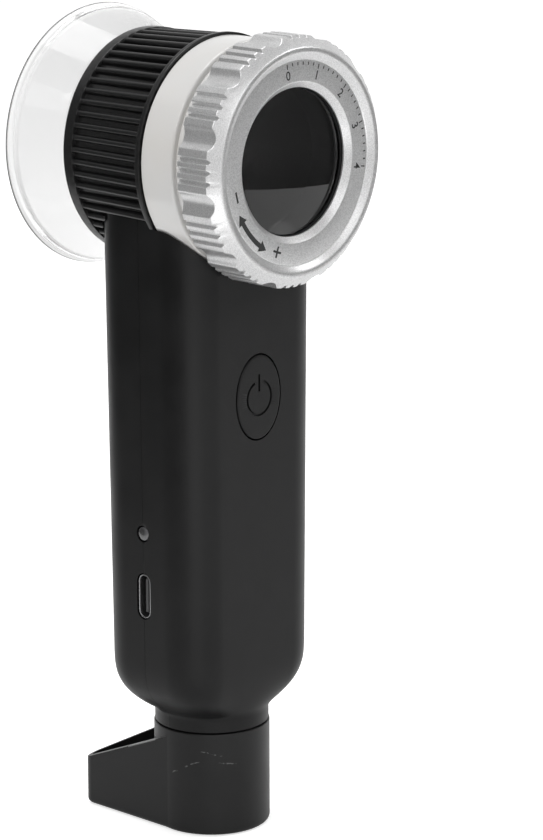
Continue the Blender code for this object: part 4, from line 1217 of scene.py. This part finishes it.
# Finishes of the nodes whose solids are shown as they are
keptNodes = (
    (windowGlass, "scale_glass"), (frosted, "light_diffuser"), (batteryWrap, "battery_cell"),
    (barrelBlack, "swivel_bush"), (boardGreen, "circuit_board light_board"),
    (blackMetal, "button_switch light_shield lens_spacer lens_retaining_ring"),
    (steel, "board_screw_1 board_screw_2 ring_retainer swivel_washer swivel_screw"),
    (ledWhite, "charge_lamp led_1 led_2 led_3 led_4 led_5 led_6"),
)
for finish, names in keptNodes:
    for nodeName in names.split():
        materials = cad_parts[nodeName].data.materials
        materials.clear()
        materials.append(finish.material)
print("kept nodes finished")


# Floor, world, lamps and camera

studio = {
    "floorSize": 12.0, "floorDrop": 0.0002, "floorColor": (0.86, 0.86, 0.86), "floorRoughness": 0.9,
    "floorGlow": 0.61, "glossGlow": 0.25, "ambient": 0.45, "skyDim": 0.45, "skyRange": (0.1, 0.8),
    "aim": (0.0, 0.0, 0.09),
    # Name, place, size and power
    "lamps": (
        ("lampLeft", (-0.85, -0.25, 0.75), 0.55, 3.1),
        ("lampRight", (0.75, -0.65, 0.60), 0.55, 3.8),
        ("lampTop", (0.05, 0.15, 1.00), 0.60, 3.4),
    ),
    # Cards that only reflections see: tone, glow, direction from -Y, distance, half width, low and high edge
    "cards": (
        ("cardRight", 0.19, 0.0, 47.0, 0.30, 0.24, 0.061, 0.30),
        ("cardLeft", 0.25, 0.0, -119.0, 0.20, 0.31, 0.004, 0.30),
        ("cardFront", 0.0, 2.3, -39.0, 0.16, 0.045, 0.001, 0.083),
        ("cardMiddle", 0.0, 1.4, -5.0, 0.16, 0.050, 0.001, 0.083),
        ("cardSky", 0.0, 1.9, -5.0, 0.50, 0.20, 0.30, 0.60),
    ),
}
view = {"azimuth": -46.94, "elevation": 13.76, "roll": -0.107, "distance": 703.2, "aimHeight": 81.79,
        "sideShift": 11.99, "lens": 154.4, "sensor": 36.0, "clipStart": 10.0}
white = (1, 1, 1, 1)


def seenBy(finish, *names):
    # 1 for the named kinds of rays, and 0 for the rest
    total = 0
    for name in names:
        total = total + finish.node("ShaderNodeLightPath", output=name)
    return finish.node("ShaderNodeClamp", None, {"Value": total})


def flatPiece(name, places, finish):
    shape = bmesh.new()
    shape.faces.new([shape.verts.new(place) for place in places])
    piece = plainObject(name, shape, finish)
    return piece


def makeFloor():
    constants = {"Specular IOR Level": 0.0, "Emission Color": white}
    look = Finish("floorPaper", studio["floorColor"], studio["floorRoughness"], constants)
    seen = seenBy(look, "Is Camera Ray", "Is Transmission Ray")
    mirrored = seenBy(look, "Is Glossy Ray") * (1 - seen)
    strength = seen * studio["floorGlow"] + mirrored * studio["glossGlow"]
    glow = look.node("ShaderNodeEmission", None, {"Color": white, "Strength": strength})
    both = look.node("ShaderNodeAddShader", None, {0: glow, 1: Wire(look, look.shader.outputs[0])})
    look.feed(look.tree.nodes["Material Output"].inputs["Surface"], both)
    half = studio["floorSize"] / 2
    places = [(x * half, y * half, -studio["floorDrop"]) for x, y in ((-1, -1), (1, -1), (1, 1), (-1, 1))]
    flatPiece("floor", places, look)


def makeCards():
    # They give the metal and the gloss the dark reflections of a dim room
    for name, tone, glow, direction, distance, halfWidth, low, high in studio["cards"]:
        turn = math.radians(direction)
        middle = Vector((math.sin(turn), -math.cos(turn), 0)) * distance
        along = Vector((math.cos(turn), math.sin(turn), 0)) * halfWidth
        edges = ((-1, low), (1, low), (1, high), (-1, high))
        places = [middle + along * side + Vector((0, 0, height)) for side, height in edges]
        constants = {"Specular IOR Level": 0.0, "Emission Strength": glow, "Emission Color": white}
        card = flatPiece(name, places, Finish(name, (tone, tone, tone), 1.0, constants))
        card.visible_camera = False
        card.visible_diffuse = False
        card.visible_transmission = False
        card.visible_shadow = False


class WorldLook(Finish):
    def __init__(self):
        self.world = bpy.data.worlds.new("studioWorld")
        self.world.use_nodes = True
        self.tree = self.world.node_tree
        self.shader = self.tree.nodes["Background"]


def makeWorld():
    look = WorldLook()
    mask = seenBy(look, "Is Camera Ray", "Is Glossy Ray", "Is Transmission Ray")
    look.set("Color", white)
    strength = studio["ambient"] + mask * (1 - studio["ambient"])
    # Reflections see a dimmer ceiling
    height = look.axes("Generated")[2]
    mirrored = seenBy(look, "Is Glossy Ray") * (1 - seenBy(look, "Is Camera Ray", "Is Transmission Ray"))
    look.set("Strength", strength - mirrored * look.ramp(height, *studio["skyRange"]) * studio["skyDim"])
    bpy.context.scene.world = look.world


def makeLamps():
    for name, place, size, power in studio["lamps"]:
        lamp = bpy.data.lights.new(name, "AREA")
        lamp.shape = "DISK"
        lamp.size = size
        lamp.energy = power
        holder = linked(name, lamp)
        holder.location = place
        aim = Vector(studio["aim"]) - Vector(place)
        holder.rotation_euler = aim.to_track_quat("-Z", "Y").to_euler()


def makeCamera():
    azimuth = math.radians(view["azimuth"])
    elevation = math.radians(view["elevation"])
    roll = math.radians(view["roll"])
    forward = Vector((-math.sin(azimuth) * math.cos(elevation), math.cos(azimuth) * math.cos(elevation),
                      -math.sin(elevation)))
    level = Vector((math.cos(azimuth), math.sin(azimuth), 0))
    above = level.cross(forward)
    right = level * math.cos(roll) + above * math.sin(roll)
    up = right.cross(forward)
    place = Vector((0, 0, view["aimHeight"] * mm)) + right * view["sideShift"] * mm
    place -= forward * view["distance"] * mm
    data = bpy.data.cameras.new("camera")
    data.lens = view["lens"]
    data.sensor_width = view["sensor"]
    data.clip_start = view["clipStart"] * mm
    camera = linked("camera", data)
    axes = Matrix((right, up, -forward)).transposed().to_4x4()
    camera.matrix_world = Matrix.Translation(place) @ axes
    bpy.context.scene.camera = camera


makeFloor()
makeCards()
makeWorld()
makeLamps()
makeCamera()
bpy.context.scene.view_settings.view_transform = "Standard"
print("studio made")
